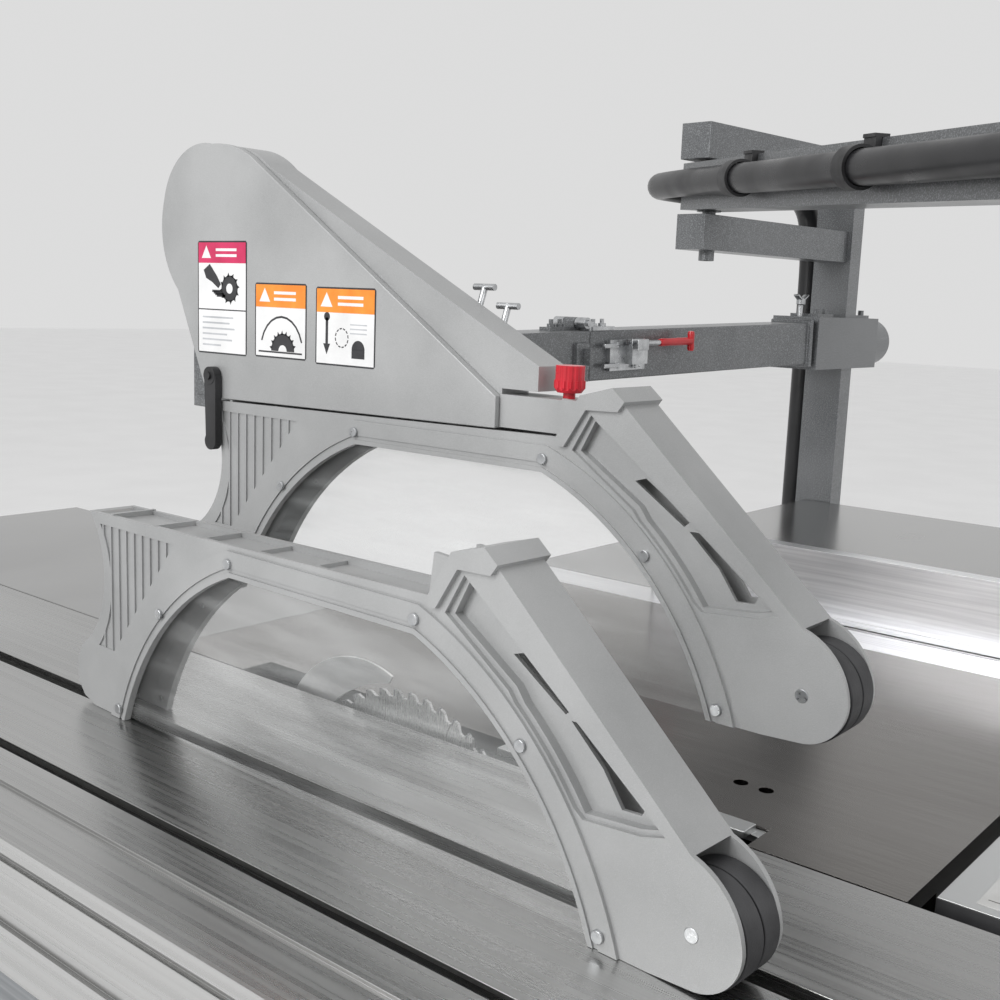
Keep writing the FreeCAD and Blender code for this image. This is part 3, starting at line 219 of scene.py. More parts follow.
def merge(shape, part, place=None, finish=0):
    """Move a part into place and add it to the shape, freeing the part."""
    if place is not None:
        bmesh.ops.transform(part, matrix=place, verts=part.verts)
    for face in part.faces:
        face.material_index = finish
    held = bpy.data.meshes.new("held")
    part.to_mesh(held)
    part.free()
    shape.from_mesh(held)
    bpy.data.meshes.remove(held)


def spin(shape, profile, at, axis, sides=36, finish=0):
    """Add a body turned from (radius, height) steps, standing at a point along an axis."""
    part = bmesh.new()
    rings = []
    for radius, height in profile:
        if radius < 1e-6:
            rings.append([part.verts.new((0, 0, height))])
        else:
            rings.append([part.verts.new((radius * math.cos(2 * math.pi * i / sides),
                                          radius * math.sin(2 * math.pi * i / sides), height))
                          for i in range(sides)])
    for lower, upper in zip(rings, rings[1:]):
        for i in range(sides):
            j = (i + 1) % sides
            corners = [lower[i % len(lower)], lower[j % len(lower)], upper[j % len(upper)], upper[i % len(upper)]]
            part.faces.new(list(dict.fromkeys(corners)))
    turn = Vector(axis).to_track_quat("Z", "Y").to_matrix().to_4x4()
    merge(shape, part, Matrix.Translation(at) @ turn, finish)


cabinet_paint = Finish("cabinet_paint", 0.42, coat=0.15)
peel = cabinet_paint.grain(900, detail=2)
soot = cabinet_paint.grain(3.5, detail=6)
cabinet_paint.paint(cabinet_paint.shades(soot, (0.50, 0.50, 0.49), (0.62, 0.62, 0.61)))
cabinet_paint.gloss(soot, 0.36, 0.5)
cabinet_paint.relief(peel, 0.25, 0.0004)
dress(cabinet_paint, ["base_cabinet", "cabinet_door"])

door_low, door_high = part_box("cabinet_door")
louvres = bmesh.new()
louvre_wide, louvre_deep, louvre_step = 0.16, 0.006, 0.022
for row in range(9):
    z = door_high.z - 0.10 - row * louvre_step
    for y in (door_low.y + 0.16, door_low.y + 0.36):
        part = bmesh.new()
        ring = []
        for step in range(7):
            a = math.pi * step / 12
            ring.append((louvre_deep * math.sin(a), -0.012 * math.cos(a)))
        rows = []
        for along in range(9):
            u = along / 8
            swell = min(1.0, 6 * min(u, 1 - u) + 0.05)
            rows.append([part.verts.new((x * swell, y + (u - 0.5) * louvre_wide, dz)) for x, dz in ring])
        for first, second in zip(rows, rows[1:]):
            for i in range(len(ring) - 1):
                part.faces.new((first[i], first[i + 1], second[i + 1], second[i]))
        merge(louvres, part, Matrix.Translation((door_low.x + 0.004 + 0.0002, 0, z)))
lay("door_louvres", louvres, [cabinet_paint], "door")

zinc_steel = Finish("zinc_steel", 0.3, metallic=1.0)
zinc_steel.paint(zinc_steel.shades(zinc_steel.grain(60, detail=5), (0.42, 0.43, 0.44), (0.62, 0.63, 0.64)))
zinc_steel.gloss(zinc_steel.grain(220), 0.22, 0.42)
zinc_steel.relief(zinc_steel.grain(1500, detail=2), 0.12, 0.0003)

lock = bmesh.new()
lock_at = Vector((door_low.x + 0.004, door_low.y + 0.05, door_high.z - 0.06))
spin(lock, [(0, 0), (0.014, 0), (0.014, 0.002), (0.0125, 0.0035), (0.009, 0.0038), (0.009, 0.0025), (0, 0.0025)],
     lock_at, (1, 0, 0))
block(lock, (0.0024, -0.007, -0.0012), (0.0036, 0.007, 0.0012), 0.0003, Matrix.Translation(lock_at))
lay("door_lock", lock, [zinc_steel], "door")


def hex_bolts(name, places, axis, size, body, washer=True):
    """Hexagon heads on washers, standing out along an axis."""
    shape = bmesh.new()
    for at in places:
        if washer:
            spin(shape, [(0, 0), (size * 1.25, 0), (size * 1.25, 0.0014), (size * 1.18, 0.0017), (0, 0.0017)],
                 at, axis, 28)
        spin(shape, [(0, 0), (size, 0.001), (size, size * 0.72), (size * 0.86, size * 0.86), (0, size * 0.86)],
             at, axis, 6)
        spin(shape, [(0, size * 0.8), (size * 0.55, size * 0.88), (size * 0.5, size * 1.02), (0, size * 1.04)],
             at, axis, 20)
    return lay(name, shape, [zinc_steel], body)


cabinet_low, cabinet_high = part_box("base_cabinet")
hex_bolts("cabinet_bolts", [Vector((x, cabinet_low.y, z)) for x in (0.03, 0.47, 0.55)
                            for z in (0.09, cabinet_high.z - 0.06)], (0, -1, 0), 0.008, "base")


# ---------------------------------------------------------------- saw unit
# Cast-iron tilt frame and carriage, painted dark grey; an induction motor with a finned housing
# drives the arbor by belt. The blade is ground plate with brazed carbide tips.
cast_carriage = Finish("cast_carriage", 0.5, metallic=0.4)
cast_carriage.paint(cast_carriage.shades(cast_carriage.grain(14, detail=8), (0.10, 0.10, 0.11), (0.17, 0.18, 0.19)))
cast_carriage.relief(cast_carriage.grain(260, detail=6), 0.5, 0.0008)
dress(cast_carriage, ["tilt_frame", "saw_carriage", "fence_carriage"], 0.0012)

motor_paint = Finish("motor_paint", 0.38, metallic=0.2)
motor_paint.paint(motor_paint.shades(motor_paint.grain(8, detail=7), (0.05, 0.06, 0.085), (0.09, 0.10, 0.13)))
motor_paint.relief(motor_paint.grain(400, detail=3), 0.3, 0.0004)
dress(motor_paint, ["motor"], 0.0015)
motor_low, motor_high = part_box("motor")
motor_axis = Vector((0, (motor_low.y + motor_high.y) / 2, (motor_low.z + motor_high.z) / 2))
motor_radius = (motor_high.z - motor_low.z) / 2
fins = bmesh.new()
for i in range(36):
    spot = Matrix.Translation(motor_axis) @ Matrix.Rotation(math.radians(10 * i), 4, "X")
    block(fins, (motor_low.x + 0.055, -0.0012, motor_radius - 0.001),
          (motor_high.x - 0.045, 0.0012, motor_radius + 0.0045), 0.0004, spot)
lay("motor_fins", fins, [motor_paint], "saw_unit")

turned_steel = Finish("turned_steel", 0.3, metallic=1.0)
turned_steel.paint(turned_steel.shades(turned_steel.grain(40, (6, 1, 1)), (0.36, 0.36, 0.36), (0.52, 0.52, 0.53)))
turned_steel.relief(turned_steel.grain(700, (8, 1, 1)), 0.2, 0.0003)
dress(turned_steel, ["arbor", "motor_pulley"], 0.0005)

belt_rubber = Finish("belt_rubber", 0.75)
belt_rubber.paint(belt_rubber.shades(belt_rubber.grain(50), (0.015, 0.015, 0.015), (0.035, 0.035, 0.035)))
belt_rubber.relief(belt_rubber.grain(900, (1, 1, 1)), 0.3, 0.0004)
dress(belt_rubber, ["drive_belt"], 0.0006)

blade_steel = Finish("blade_steel", 0.26, metallic=1.0)
blade_steel.paint(blade_steel.shades(blade_steel.grain(30, (1, 1, 6), 8), (0.46, 0.46, 0.46), (0.66, 0.66, 0.66)))
blade_steel.gloss(blade_steel.grain(90, (1, 8, 1)), 0.2, 0.36)
blade_steel.relief(blade_steel.grain(1200, (1, 0.1, 1)), 0.1, 0.0002)
dress(blade_steel, ["saw_blade", "scoring_blade"], 0)

knife_steel = Finish("knife_steel", 0.3, metallic=0.85)
knife_steel.paint(knife_steel.shades(knife_steel.grain(25, (1, 1, 5)), (0.78, 0.78, 0.78), (0.92, 0.92, 0.92)))
knife_steel.relief(knife_steel.grain(900, (1, 1, 0.08)), 0.1, 0.0002)
dress(knife_steel, ["riving_knife"], 0.0003)

carbide = Finish("carbide", 0.34, metallic=0.8)
carbide.paint(carbide.shades(carbide.grain(400), (0.16, 0.16, 0.17), (0.26, 0.26, 0.27)))
for disc, teeth, body in (("saw_blade", 48, "blade"), ("scoring_blade", 24, "scorer")):
    low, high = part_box(disc)
    centre = Vector((0, (low.y + high.y) / 2, (low.z + high.z) / 2))
    radius = (high.z - low.z) / 2
    tips = bmesh.new()
    for i in range(teeth):
        spot = Matrix.Translation(centre) @ Matrix.Rotation(2 * math.pi * i / teeth, 4, "X")
        block(tips, (-0.0017, radius - 0.006, -0.0002), (0.0017, radius + 0.0002, 0.0016), 0.0002, spot)
    lay(disc + "_tips", tips, [carbide], body)


# ---------------------------------------------------------------- handwheels
# Two moulded handwheels on the infeed side set the blade's height and tilt. They are black
# glass-filled plastic on steel hubs, each with a chromed centre cap and a turning grip.
black_plastic = Finish("black_plastic", 0.45)
black_plastic.paint(black_plastic.shades(black_plastic.grain(20, detail=6), (0.012, 0.012, 0.013), (0.028, 0.028, 0.03)))
black_plastic.gloss(black_plastic.grain(60), 0.36, 0.56)
black_plastic.relief(black_plastic.grain(1100, detail=2), 0.3, 0.0003)
dress(black_plastic, ["rise_wheel", "tilt_wheel", "slide_end_caps", "push_handle", "hood_lever",
                      "hose_clips", "fence_lever"], 0.001)
chromed = Finish("chromed_bar", 0.08, metallic=1.0)
chromed.paint(chromed.shades(chromed.grain(6), (0.66, 0.67, 0.68), (0.80, 0.80, 0.81)))
chromed.gloss(chromed.grain(30), 0.05, 0.14)
for wheel, body in (("rise_wheel", "rise_handwheel"), ("tilt_wheel", "tilt_handwheel")):
    low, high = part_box(wheel)
    rim_radius = (high.z - low.z) / 2
    hub = Vector((low.x + rim_radius, high.y - 0.056, (low.z + high.z) / 2))
    cap = bmesh.new()
    spin(cap, [(0.0175, -0.002), (0.0175, 0.003), (0.015, 0.006), (0.008, 0.0078), (0, 0.0082)], hub, (0, -1, 0))
    lay(wheel + "_cap", cap, [chromed], body)


# ---------------------------------------------------------------- cast table, insert and joint strip
# The main table is cast iron, ground on top and lightly oiled, so it is dark and mirrors the
# guard softly. A thin insert closes the slot before the blade; the joint strip is brushed plate.
ground_iron = Finish("ground_iron", 0.2, metallic=1.0)
wash = ground_iron.grain(4, (1, 0.35, 1), 7)
swirl = ground_iron.grain(420, (1, 0.03, 1), 3)
ground_iron.paint(ground_iron.blend(ground_iron.between(swirl, 0.4, 0.6, 0.0, 0.3),
                                    ground_iron.shades(wash, (0.155, 0.145, 0.135), (0.225, 0.215, 0.205)),
                                    (0.27, 0.26, 0.25)))
ground_iron.gloss(wash, 0.16, 0.27)
ground_iron.relief(swirl, 0.05, 0.0002)
dress(ground_iron, ["main_table"], 0.001)

anodised = Finish("anodised_aluminium", 0.34, metallic=1.0)
anodised.paint(anodised.shades(anodised.grain(5, (0.2, 1, 1), 6), (0.50, 0.51, 0.51), (0.62, 0.63, 0.63)))
anodised.relief(anodised.grain(900, (0.02, 1, 1), 2), 0.08, 0.0002)
dress(anodised, ["table_insert", "fence_rail"], 0.0007)

brushed_strip = Finish("brushed_strip", 0.3, metallic=0.9)
brushed_strip.paint(brushed_strip.shades(brushed_strip.grain(300, (1, 0.02, 1), 3), (0.74, 0.74, 0.76), (0.92, 0.92, 0.93)))
brushed_strip.relief(brushed_strip.grain(800, (1, 0.015, 1), 2), 0.12, 0.0002)
dress(brushed_strip, ["joint_strip"], 0.0008)


# ---------------------------------------------------------------- side tables on their frames
# Folded steel panels with a smooth rolled face, lightly oiled, on welded square-tube frames
# with levelling feet. The frames are stove-enamelled dark grey hammertone.
polished_sheet = Finish("polished_sheet", 0.2, metallic=1.0)
roll = polished_sheet.grain(3, (0.5, 1, 1), 7)
polished_sheet.paint(polished_sheet.shades(roll, (0.33, 0.33, 0.325), (0.44, 0.44, 0.435)))
polished_sheet.gloss(roll, 0.14, 0.28)
polished_sheet.relief(polished_sheet.grain(600, (0.03, 1, 1), 2), 0.05, 0.0002)
dress(polished_sheet, ["extension_table", "outfeed_table"], 0.0012)

frame_paint = Finish("frame_paint", 0.34, metallic=0.55, coat=0.2)
hammer = frame_paint.grain(520, detail=2)
patch = frame_paint.grain(7, detail=6)
speckle = frame_paint.between(hammer, 0.50, 0.62, 0.0, 0.75)
enamel = frame_paint.shades(patch, (0.125, 0.13, 0.135), (0.17, 0.175, 0.18))
frame_paint.paint(frame_paint.blend(speckle, enamel, (0.30, 0.31, 0.32)))
frame_paint.gloss(patch, 0.28, 0.42)
frame_paint.relief(hammer, 0.45, 0.0007)
dress(frame_paint, ["table_frames", "bar_brackets", "column", "arm_clamp", "outer_arm", "inner_arm",
                    "hood_bracket", "boom_fork", "boom"], 0.0028)


# ---------------------------------------------------------------- fence rail, bar and rip fence
# The rip fence slides on a hard-chromed round bar in front of the table and locks with a lever.
# The rail carries an engraved millimetre rule; the fence is an anodised extrusion with end caps.
dress(chromed, ["fence_bar"], 0.001)
fence_aluminium = Finish("fence_aluminium", 0.28, metallic=0.9)
fence_aluminium.paint(fence_aluminium.shades(fence_aluminium.grain(260, (1, 0.02, 1), 3), (0.74, 0.74, 0.76), (0.90, 0.90, 0.92)))
fence_aluminium.relief(fence_aluminium.grain(700, (1, 0.015, 1), 2), 0.1, 0.0002)
dress(fence_aluminium, ["rip_fence"], 0.0008)
rail_low, rail_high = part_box("fence_rail")
rule_white = Finish("rule_white", 0.4)
rule_white.paint(rule_white.shades(rule_white.grain(30, detail=6), (0.50, 0.50, 0.49), (0.60, 0.60, 0.59)))
rule_black = Finish("rule_black", 0.5)
rule_black.paint(rule_black.shades(rule_black.grain(90), (0.02, 0.02, 0.02), (0.05, 0.05, 0.05)))
rule = bmesh.new()
rule_y = rail_low.y + 0.006
block(rule, (rail_low.x + 0.01, rule_y, rail_high.z), (rail_high.x - 0.01, rule_y + 0.020, rail_high.z + 0.0005), 0.0001)
mark_x, mark = rail_low.x + 0.02, 0
while mark_x < rail_high.x - 0.015:
    long = 0.014 if mark % 10 == 0 else 0.010 if mark % 5 == 0 else 0.006
    block(rule, (mark_x - 0.0003, rule_y + 0.001, rail_high.z + 0.0004),
          (mark_x + 0.0003, rule_y + 0.001 + long, rail_high.z + 0.0007), 0, finish=1)
    mark_x += 0.005
    mark += 1
lay("rail_rule", rule, [rule_white, rule_black], "base", smooth=False)
caps = bmesh.new()
for x, side in ((rail_low.x, -1), (rail_high.x, 1)):
    first, second = sorted((x, x + side * 0.002))
    block(caps, (first, rail_low.y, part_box("fence_rail")[0].z), (second, rail_low.y + 0.05, rail_high.z), 0.0008)
lay("rail_caps", caps, [black_plastic], "base")
fence_low, fence_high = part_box("rip_fence")
stops = bmesh.new()
for y, side in ((fence_low.y, -1), (fence_high.y, 1)):
    first, second = sorted((y, y + side * 0.003))
    block(stops, (fence_low.x, first, fence_low.z), (fence_high.x, second, fence_high.z), 0.001)
lay("fence_caps", stops, [black_plastic], "fence")
hex_bolts("bracket_bolts", [Vector((x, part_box("bar_brackets")[0].y + 0.012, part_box("bar_brackets")[1].z))
                            for x in (0.068, 0.648, 1.228)], (0, 0, 1), 0.006, "base")


# ---------------------------------------------------------------- sliding table on its beam
# A long anodised extrusion with two tee slots, brushed along its length, runs on a fixed
# aluminium beam. Its top shows fine draw lines, rubbed bright where sheets have been pushed.
slide_aluminium = Finish("slide_aluminium", 0.26, metallic=1.0)
lines = slide_aluminium.grain(220, (1, 0.006, 1), 4)
fine = slide_aluminium.grain(900, (1, 0.004, 1), 2)
cloud = slide_aluminium.grain(5, (1, 0.25, 1), 6)
slide_aluminium.paint(slide_aluminium.blend(slide_aluminium.between(lines, 0.42, 0.6, 0.0, 0.45),
                                            slide_aluminium.shades(cloud, (0.36, 0.36, 0.355), (0.46, 0.46, 0.455)),
                                            (0.54, 0.54, 0.535)))
slide_aluminium.gloss(lines, 0.2, 0.36)
slide_aluminium.relief(lines, 0.12, 0.0002)
slide_aluminium.relief(fine, 0.1, 0.0002)
dress(slide_aluminium, ["slide_table"], 0.001)
beam_aluminium = Finish("beam_aluminium", 0.38, metallic=0.9)
beam_aluminium.paint(beam_aluminium.shades(beam_aluminium.grain(240, (1, 0.01, 1), 3), (0.20, 0.21, 0.22), (0.28, 0.29, 0.30)))
beam_aluminium.relief(beam_aluminium.grain(700, (1, 0.01, 1), 2), 0.1, 0.0002)
dress(beam_aluminium, ["slide_beam"], 0.0015)
grip_low, grip_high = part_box("push_handle")
grip = bmesh.new()
grip_axis = Vector((grip_low.x + 0.015, grip_low.y, (grip_low.z + grip_high.z) / 2))
for i in range(14):
    at = grip_axis + Vector((0, 0.02 + 0.0115 * i, 0))
    spin(grip, [(0.0152, 0), (0.0162, 0.0015), (0.0162, 0.0055), (0.0152, 0.007)], at, (0, 1, 0), 32)
lay("push_grip", grip, [black_plastic], "slide")


# ---------------------------------------------------------------- column and folding arm
# Square tubes in hammertone enamel. The arm folds up about a pin hinge with zinc-plated leaves
# on its top, and a zinc-plated latch clamp with a red dipped handle holds it shut.
dress(zinc_steel, ["hinge_pin_leaf", "toggle_base", "hood_bolts", "guard_screws", "spare_screws"], 0.0006)
red_grip = Finish("red_grip", 0.28, coat=0.3)
red_grip.paint(red_grip.shades(red_grip.grain(40, detail=4), (0.50, 0.006, 0.012), (0.62, 0.012, 0.02)))
red_grip.relief(red_grip.grain(300), 0.15, 0.0004)
arm_turn = Matrix.Rotation(math.radians(180 - 5.25), 4, "Z") @ Matrix.Rotation(math.radians(1.8), 4, "Y")
base_low, base_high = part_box("toggle_base")
clamp_middle = (base_low + base_high) / 2
clamp_place = Matrix.Translation(clamp_middle) @ arm_turn
latch = bmesh.new()
for z in (-0.016, 0.016):
    block(latch, (0.030, -0.002, z - 0.0035), (0.066, 0.004, z + 0.0035), 0.001, clamp_place)
for x, z in ((-0.030, -0.017), (-0.030, 0.017), (0.026, -0.017), (0.026, 0.017)):
    at = clamp_place @ Vector((x, -0.006, z))
    spin(latch, [(0, 0), (0.005, 0), (0.005, 0.004), (0.0035, 0.005), (0, 0.005)], at,
         clamp_place.to_3x3() @ Vector((0, 1, 0)), 6)
lay("latch_hardware", latch, [zinc_steel], "base")
stem_y, stem_z = 0.012, 0.019
lever = bmesh.new()
axis_out = clamp_place.to_3x3() @ Vector((-1, 0, 0))
root = clamp_place @ Vector((-0.012, stem_y + 0.004, stem_z))
spin(lever, [(0, 0), (0.0045, 0), (0.0045, 0.062), (0, 0.062)], root, axis_out, 20)
for side in (-1, 1):
    block(lever, (-0.022, stem_y + 0.004 + side * 0.006 - 0.0012, 0.008),
          (0.006, stem_y + 0.004 + side * 0.006 + 0.0012, 0.026), 0.0006, clamp_place)
spin(lever, [(0, 0), (0.0035, 0), (0.0035, 0.044), (0, 0.044)], clamp_place @ Vector((-0.015, stem_y - 0.009, -0.022)),
     clamp_place.to_3x3() @ Vector((0, 0, 1)), 20)
spin(lever, [(0, 0.046), (0.0058, 0.047), (0.0068, 0.052), (0.0062, 0.075), (0.0068, 0.1), (0.0062, 0.128),
             (0.0068, 0.1335), (0, 0.1345)], root, axis_out, 28, finish=1)
spin(lever, [(0, -0.017), (0.0048, -0.0165), (0.0062, -0.012), (0.0056, 0), (0.0062, 0.012), (0.0048, 0.0165),
             (0, 0.017)], root + axis_out * 0.134, clamp_place.to_3x3() @ Vector((0, 0, 1)), 24, finish=1)
latch_lever = lay("latch_lever", lever, [zinc_steel, red_grip], "toggle")
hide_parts("toggle_lever")
clamp_low, clamp_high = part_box("arm_clamp")
wing = bmesh.new()
wing_at = Vector((clamp_low.x + 0.016, (clamp_low.y + clamp_high.y) / 2, clamp_high.z - 0.016))
spin(wing, [(0, 0), (0.005, 0), (0.005, 0.022), (0.009, 0.024), (0.009, 0.034), (0.006, 0.037), (0, 0.038)],
     wing_at, (0, 0, 1), 24)
for side in (-1, 1):
    tilt = Matrix.Translation(wing_at + Vector((0, 0, 0.030))) @ Matrix.Rotation(math.radians(-side * 62), 4, "Y")
    block(wing, (-0.0018, -0.006, 0.004), (0.0018, 0.006, 0.026), 0.0012, tilt)
lay("clamp_wing_screw", wing, [zinc_steel], "base")
foot_low, foot_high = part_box("column")
anchors = [Vector((x, y, 0.012)) for x in (foot_low.x + 0.02, foot_high.x - 0.02)
           for y in (foot_low.y + 0.02, foot_high.y - 0.02)]
hex_bolts("column_anchor_bolts", anchors, (0, 0, 1), 0.009, "base")


# ---------------------------------------------------------------- control boom and its conduit
# The boom swings on the fork's pin and carries the push-button box. A smooth black conduit
# runs down the column, loops round the pivot and lies along the boom in moulded clips.
black_conduit = Finish("black_conduit", 0.32)
black_conduit.paint(black_conduit.shades(black_conduit.grain(9, detail=6), (0.008, 0.008, 0.009), (0.02, 0.02, 0.022)))
black_conduit.gloss(black_conduit.grain(14), 0.24, 0.42)
black_conduit.relief(black_conduit.grain(1400, detail=2), 0.15, 0.0002)
pivot = next(j for j in frame["record"]["behaviour"]["joints"] if j["name"] == "boom_swing")["pos_m"]
boom_turn, boom_dip, boom_half = math.radians(-127), math.radians(2.8), 0.041
boom_seat = Matrix.Translation((pivot[0], pivot[1], 1.431)) @ Matrix.Rotation(boom_turn, 4, "Z")
boom_place = (boom_seat @ Matrix.Translation((0, 0, boom_half)) @ Matrix.Rotation(boom_dip, 4, "Y") @
              Matrix.Translation((0, 0, -boom_half)))
conduit_radius = 0.0235
on_boom = [(1.68, -0.066, 0.044), (1.45, -0.066, 0.044), (1.2, -0.0665, 0.043), (1.0, -0.066, 0.044),
           (0.8, -0.0665, 0.043), (0.6, -0.066, 0.044), (0.4, -0.0665, 0.043), (0.2, -0.066, 0.044),
           (0.05, -0.0665, 0.044), (-0.04, -0.067, 0.043), (-0.112, -0.063, 0.042), (-0.126, 0.0, 0.038),
           (-0.112, 0.05, 0.032)]
on_column = [(1.325, 0.444, 1.475), (1.41, 0.455, 1.504), (1.55, 0.452, 1.511), (1.645, 0.440, 1.488),
             (1.6635, 0.428, 1.41), (1.664, 0.4265, 1.25), (1.6635, 0.426, 1.0), (1.6655, 0.4275, 0.7),
             (1.666, 0.428, 0.42), (1.665, 0.427, 0.25), (1.664, 0.426, 0.06)]
route = [boom_place @ Vector(p) for p in on_boom] + [Vector(p) for p in on_column]


def conduit_mesh(points, radius):
    """A tube along one smooth NURBS line through the neighbourhood of the points."""
    line = bpy.data.curves.new("conduit_line", "CURVE")
    line.dimensions = "3D"
    spline = line.splines.new("NURBS")
    spline.points.add(len(points) - 1)
    for held, point in zip(spline.points, points):
        held.co = (*point, 1)
    spline.order_u = 3
    spline.use_endpoint_u = True
    spline.resolution_u = 8
    line.bevel_depth = radius
    line.bevel_resolution = 8
    line.use_fill_caps = True
    carrier = bpy.data.objects.new("conduit_line", line)
    mesh = bpy.data.meshes.new_from_object(carrier)
    bpy.data.objects.remove(carrier)
    return mesh


conduit = bpy.data.objects.new("conduit", conduit_mesh(route, conduit_radius))
conduit.data.materials.append(black_conduit.material)
for face in conduit.data.polygons:
    face.use_smooth = True
bpy.context.scene.collection.objects.link(conduit)
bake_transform(conduit)
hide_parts("boom_hose", "column_hose")

dress(cabinet_paint, ["pendant_box"], 0.001)
green_button = Finish("green_button", 0.3, coat=0.3)
green_button.paint(green_button.shades(green_button.grain(70), (0.02, 0.26, 0.07), (0.03, 0.33, 0.09)))
green_button.relief(green_button.grain(700), 0.1, 0.0003)
dress(green_button, ["start_button"], 0.0015)
red_button = Finish("red_button", 0.3, coat=0.3)
red_button.paint(red_button.shades(red_button.grain(70), (0.44, 0.01, 0.01), (0.55, 0.015, 0.015)))
red_button.relief(red_button.grain(700), 0.1, 0.0003)
dress(red_button, ["stop_button"], 0.002)
tip = 1.71
face_x = tip + 0.045
pendant = boom_seat @ Matrix.Translation((0, 0, -tip * math.tan(boom_dip)))
outward = pendant.to_3x3() @ Vector((1, 0, 0))
rings = bmesh.new()
for y in (-0.032, 0.032):
    spin(rings, [(0.0152, 0), (0.0215, 0), (0.0215, 0.003), (0.0195, 0.005), (0.0155, 0.005), (0.0152, 0)],
         pendant @ Vector((face_x, y, -0.120)), outward, 36)
spin(rings, [(0, 0), (0.013, 0), (0.013, 0.012), (0.011, 0.016), (0, 0.0165)],
     pendant @ Vector((face_x, 0, -0.175)), outward, 36)
block(rings, (face_x + 0.016, -0.0025, -0.187), (face_x + 0.024, 0.0025, -0.163), 0.001, pendant)
spin(rings, [(0, 0), (0.008, 0), (0.008, 0.004), (0, 0.006)], pendant @ Vector((face_x, 0, -0.21)), outward, 28)
lay("pendant_fittings", rings, [black_plastic], "boom")
corner_screws = bmesh.new()
for y in (-0.064, 0.064):
    for z in (-0.218, -0.072):
        spin(corner_screws, [(0, 0), (0.0038, 0), (0.0035, 0.0018), (0.0018, 0.002), (0.0018, 0.0008), (0, 0.0008)],
             pendant @ Vector((face_x, y, z)), outward, 20)
lay("pendant_screws", corner_screws, [zinc_steel], "boom")


# ---------------------------------------------------------------- riving guards
# Each guard is two aluminium castings in fine silver paint, screwed round clear panes, with a
# ribbed tail, a webbed nose and a rubber roller. One works on the arm, one is a spare.
cast_paint = Finish("cast_paint", 0.4, metallic=0.35, coat=0.1)
skin = cast_paint.grain(1100, detail=3)
mist = cast_paint.grain(9, detail=7)
flake = cast_paint.grain(2600, detail=1)
silver = cast_paint.shades(mist, (0.33, 0.335, 0.335), (0.40, 0.405, 0.405))
cast_paint.paint(cast_paint.blend(cast_paint.between(flake, 0.5, 0.62, 0.0, 0.35), silver, (0.54, 0.54, 0.55)))
cast_paint.gloss(mist, 0.34, 0.46)
cast_paint.relief(skin, 0.35, 0.0004)
dress(cast_paint, ["guard_left_half", "guard_right_half", "spare_left_half", "spare_right_half"], 0)
dress(cast_paint, ["hood_left_cover", "hood_body"], 0.0009)

clear_pane = Finish("clear_pane", 0.05)
scuff = clear_pane.grain(60, (1, 0.12, 1), 8)
haze = clear_pane.grain(5, (1, 0.4, 1), 5)
clear_pane.paint(clear_pane.shades(haze, (0.90, 0.93, 0.93), (0.97, 0.98, 0.98)))
clear_pane.join(clear_pane.between(scuff, 0.45, 0.75, 0.03, 0.11), clear_pane.shader.inputs["Alpha"])
clear_pane.relief(scuff, 0.05, 0.0002)
dress(clear_pane, ["guard_windows", "spare_windows"], 0)

roller_rubber = Finish("roller_rubber", 0.6)
roller_rubber.paint(roller_rubber.shades(roller_rubber.grain(30, detail=7), (0.022, 0.022, 0.024), (0.05, 0.05, 0.053)))
roller_rubber.gloss(roller_rubber.grain(40), 0.5, 0.72)
roller_rubber.relief(roller_rubber.grain(700, (1, 1, 1), 4), 0.4, 0.0005)
dress(roller_rubber, ["guard_roller", "spare_roller"], 0.0015)


# ---------------------------------------------------------------- dust hood and its labels
# A cast hood with a screwed-on cover, painted like the guards. Three laminated pictogram plates
# are stuck to the cover. A red fluted knob clamps the guard and a black lever locks the hood.
cover_low, cover_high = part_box("hood_left_cover")
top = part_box("main_table")[1].z
plate_white = Finish("plate_white", 0.28, coat=0.3)
plate_white.paint(plate_white.shades(plate_white.grain(25, detail=5), (0.70, 0.70, 0.70), (0.80, 0.80, 0.80)))
plate_dark = Finish("plate_dark", 0.3, coat=0.3)
plate_dark.paint(plate_dark.shades(plate_dark.grain(50), (0.012, 0.012, 0.014), (0.03, 0.03, 0.034)))
plate_grey = Finish("plate_grey", 0.32, coat=0.2)
plate_grey.paint(plate_grey.shades(plate_grey.grain(50), (0.40, 0.41, 0.43), (0.50, 0.51, 0.53)))
plate_red = Finish("plate_red", 0.28, coat=0.3)
plate_red.paint(plate_red.shades(plate_red.grain(50), (0.50, 0.01, 0.08), (0.60, 0.02, 0.11)))
plate_orange = Finish("plate_orange", 0.28, coat=0.3)
plate_orange.paint(plate_orange.shades(plate_orange.grain(50), (0.80, 0.22, 0.015), (0.90, 0.29, 0.03)))


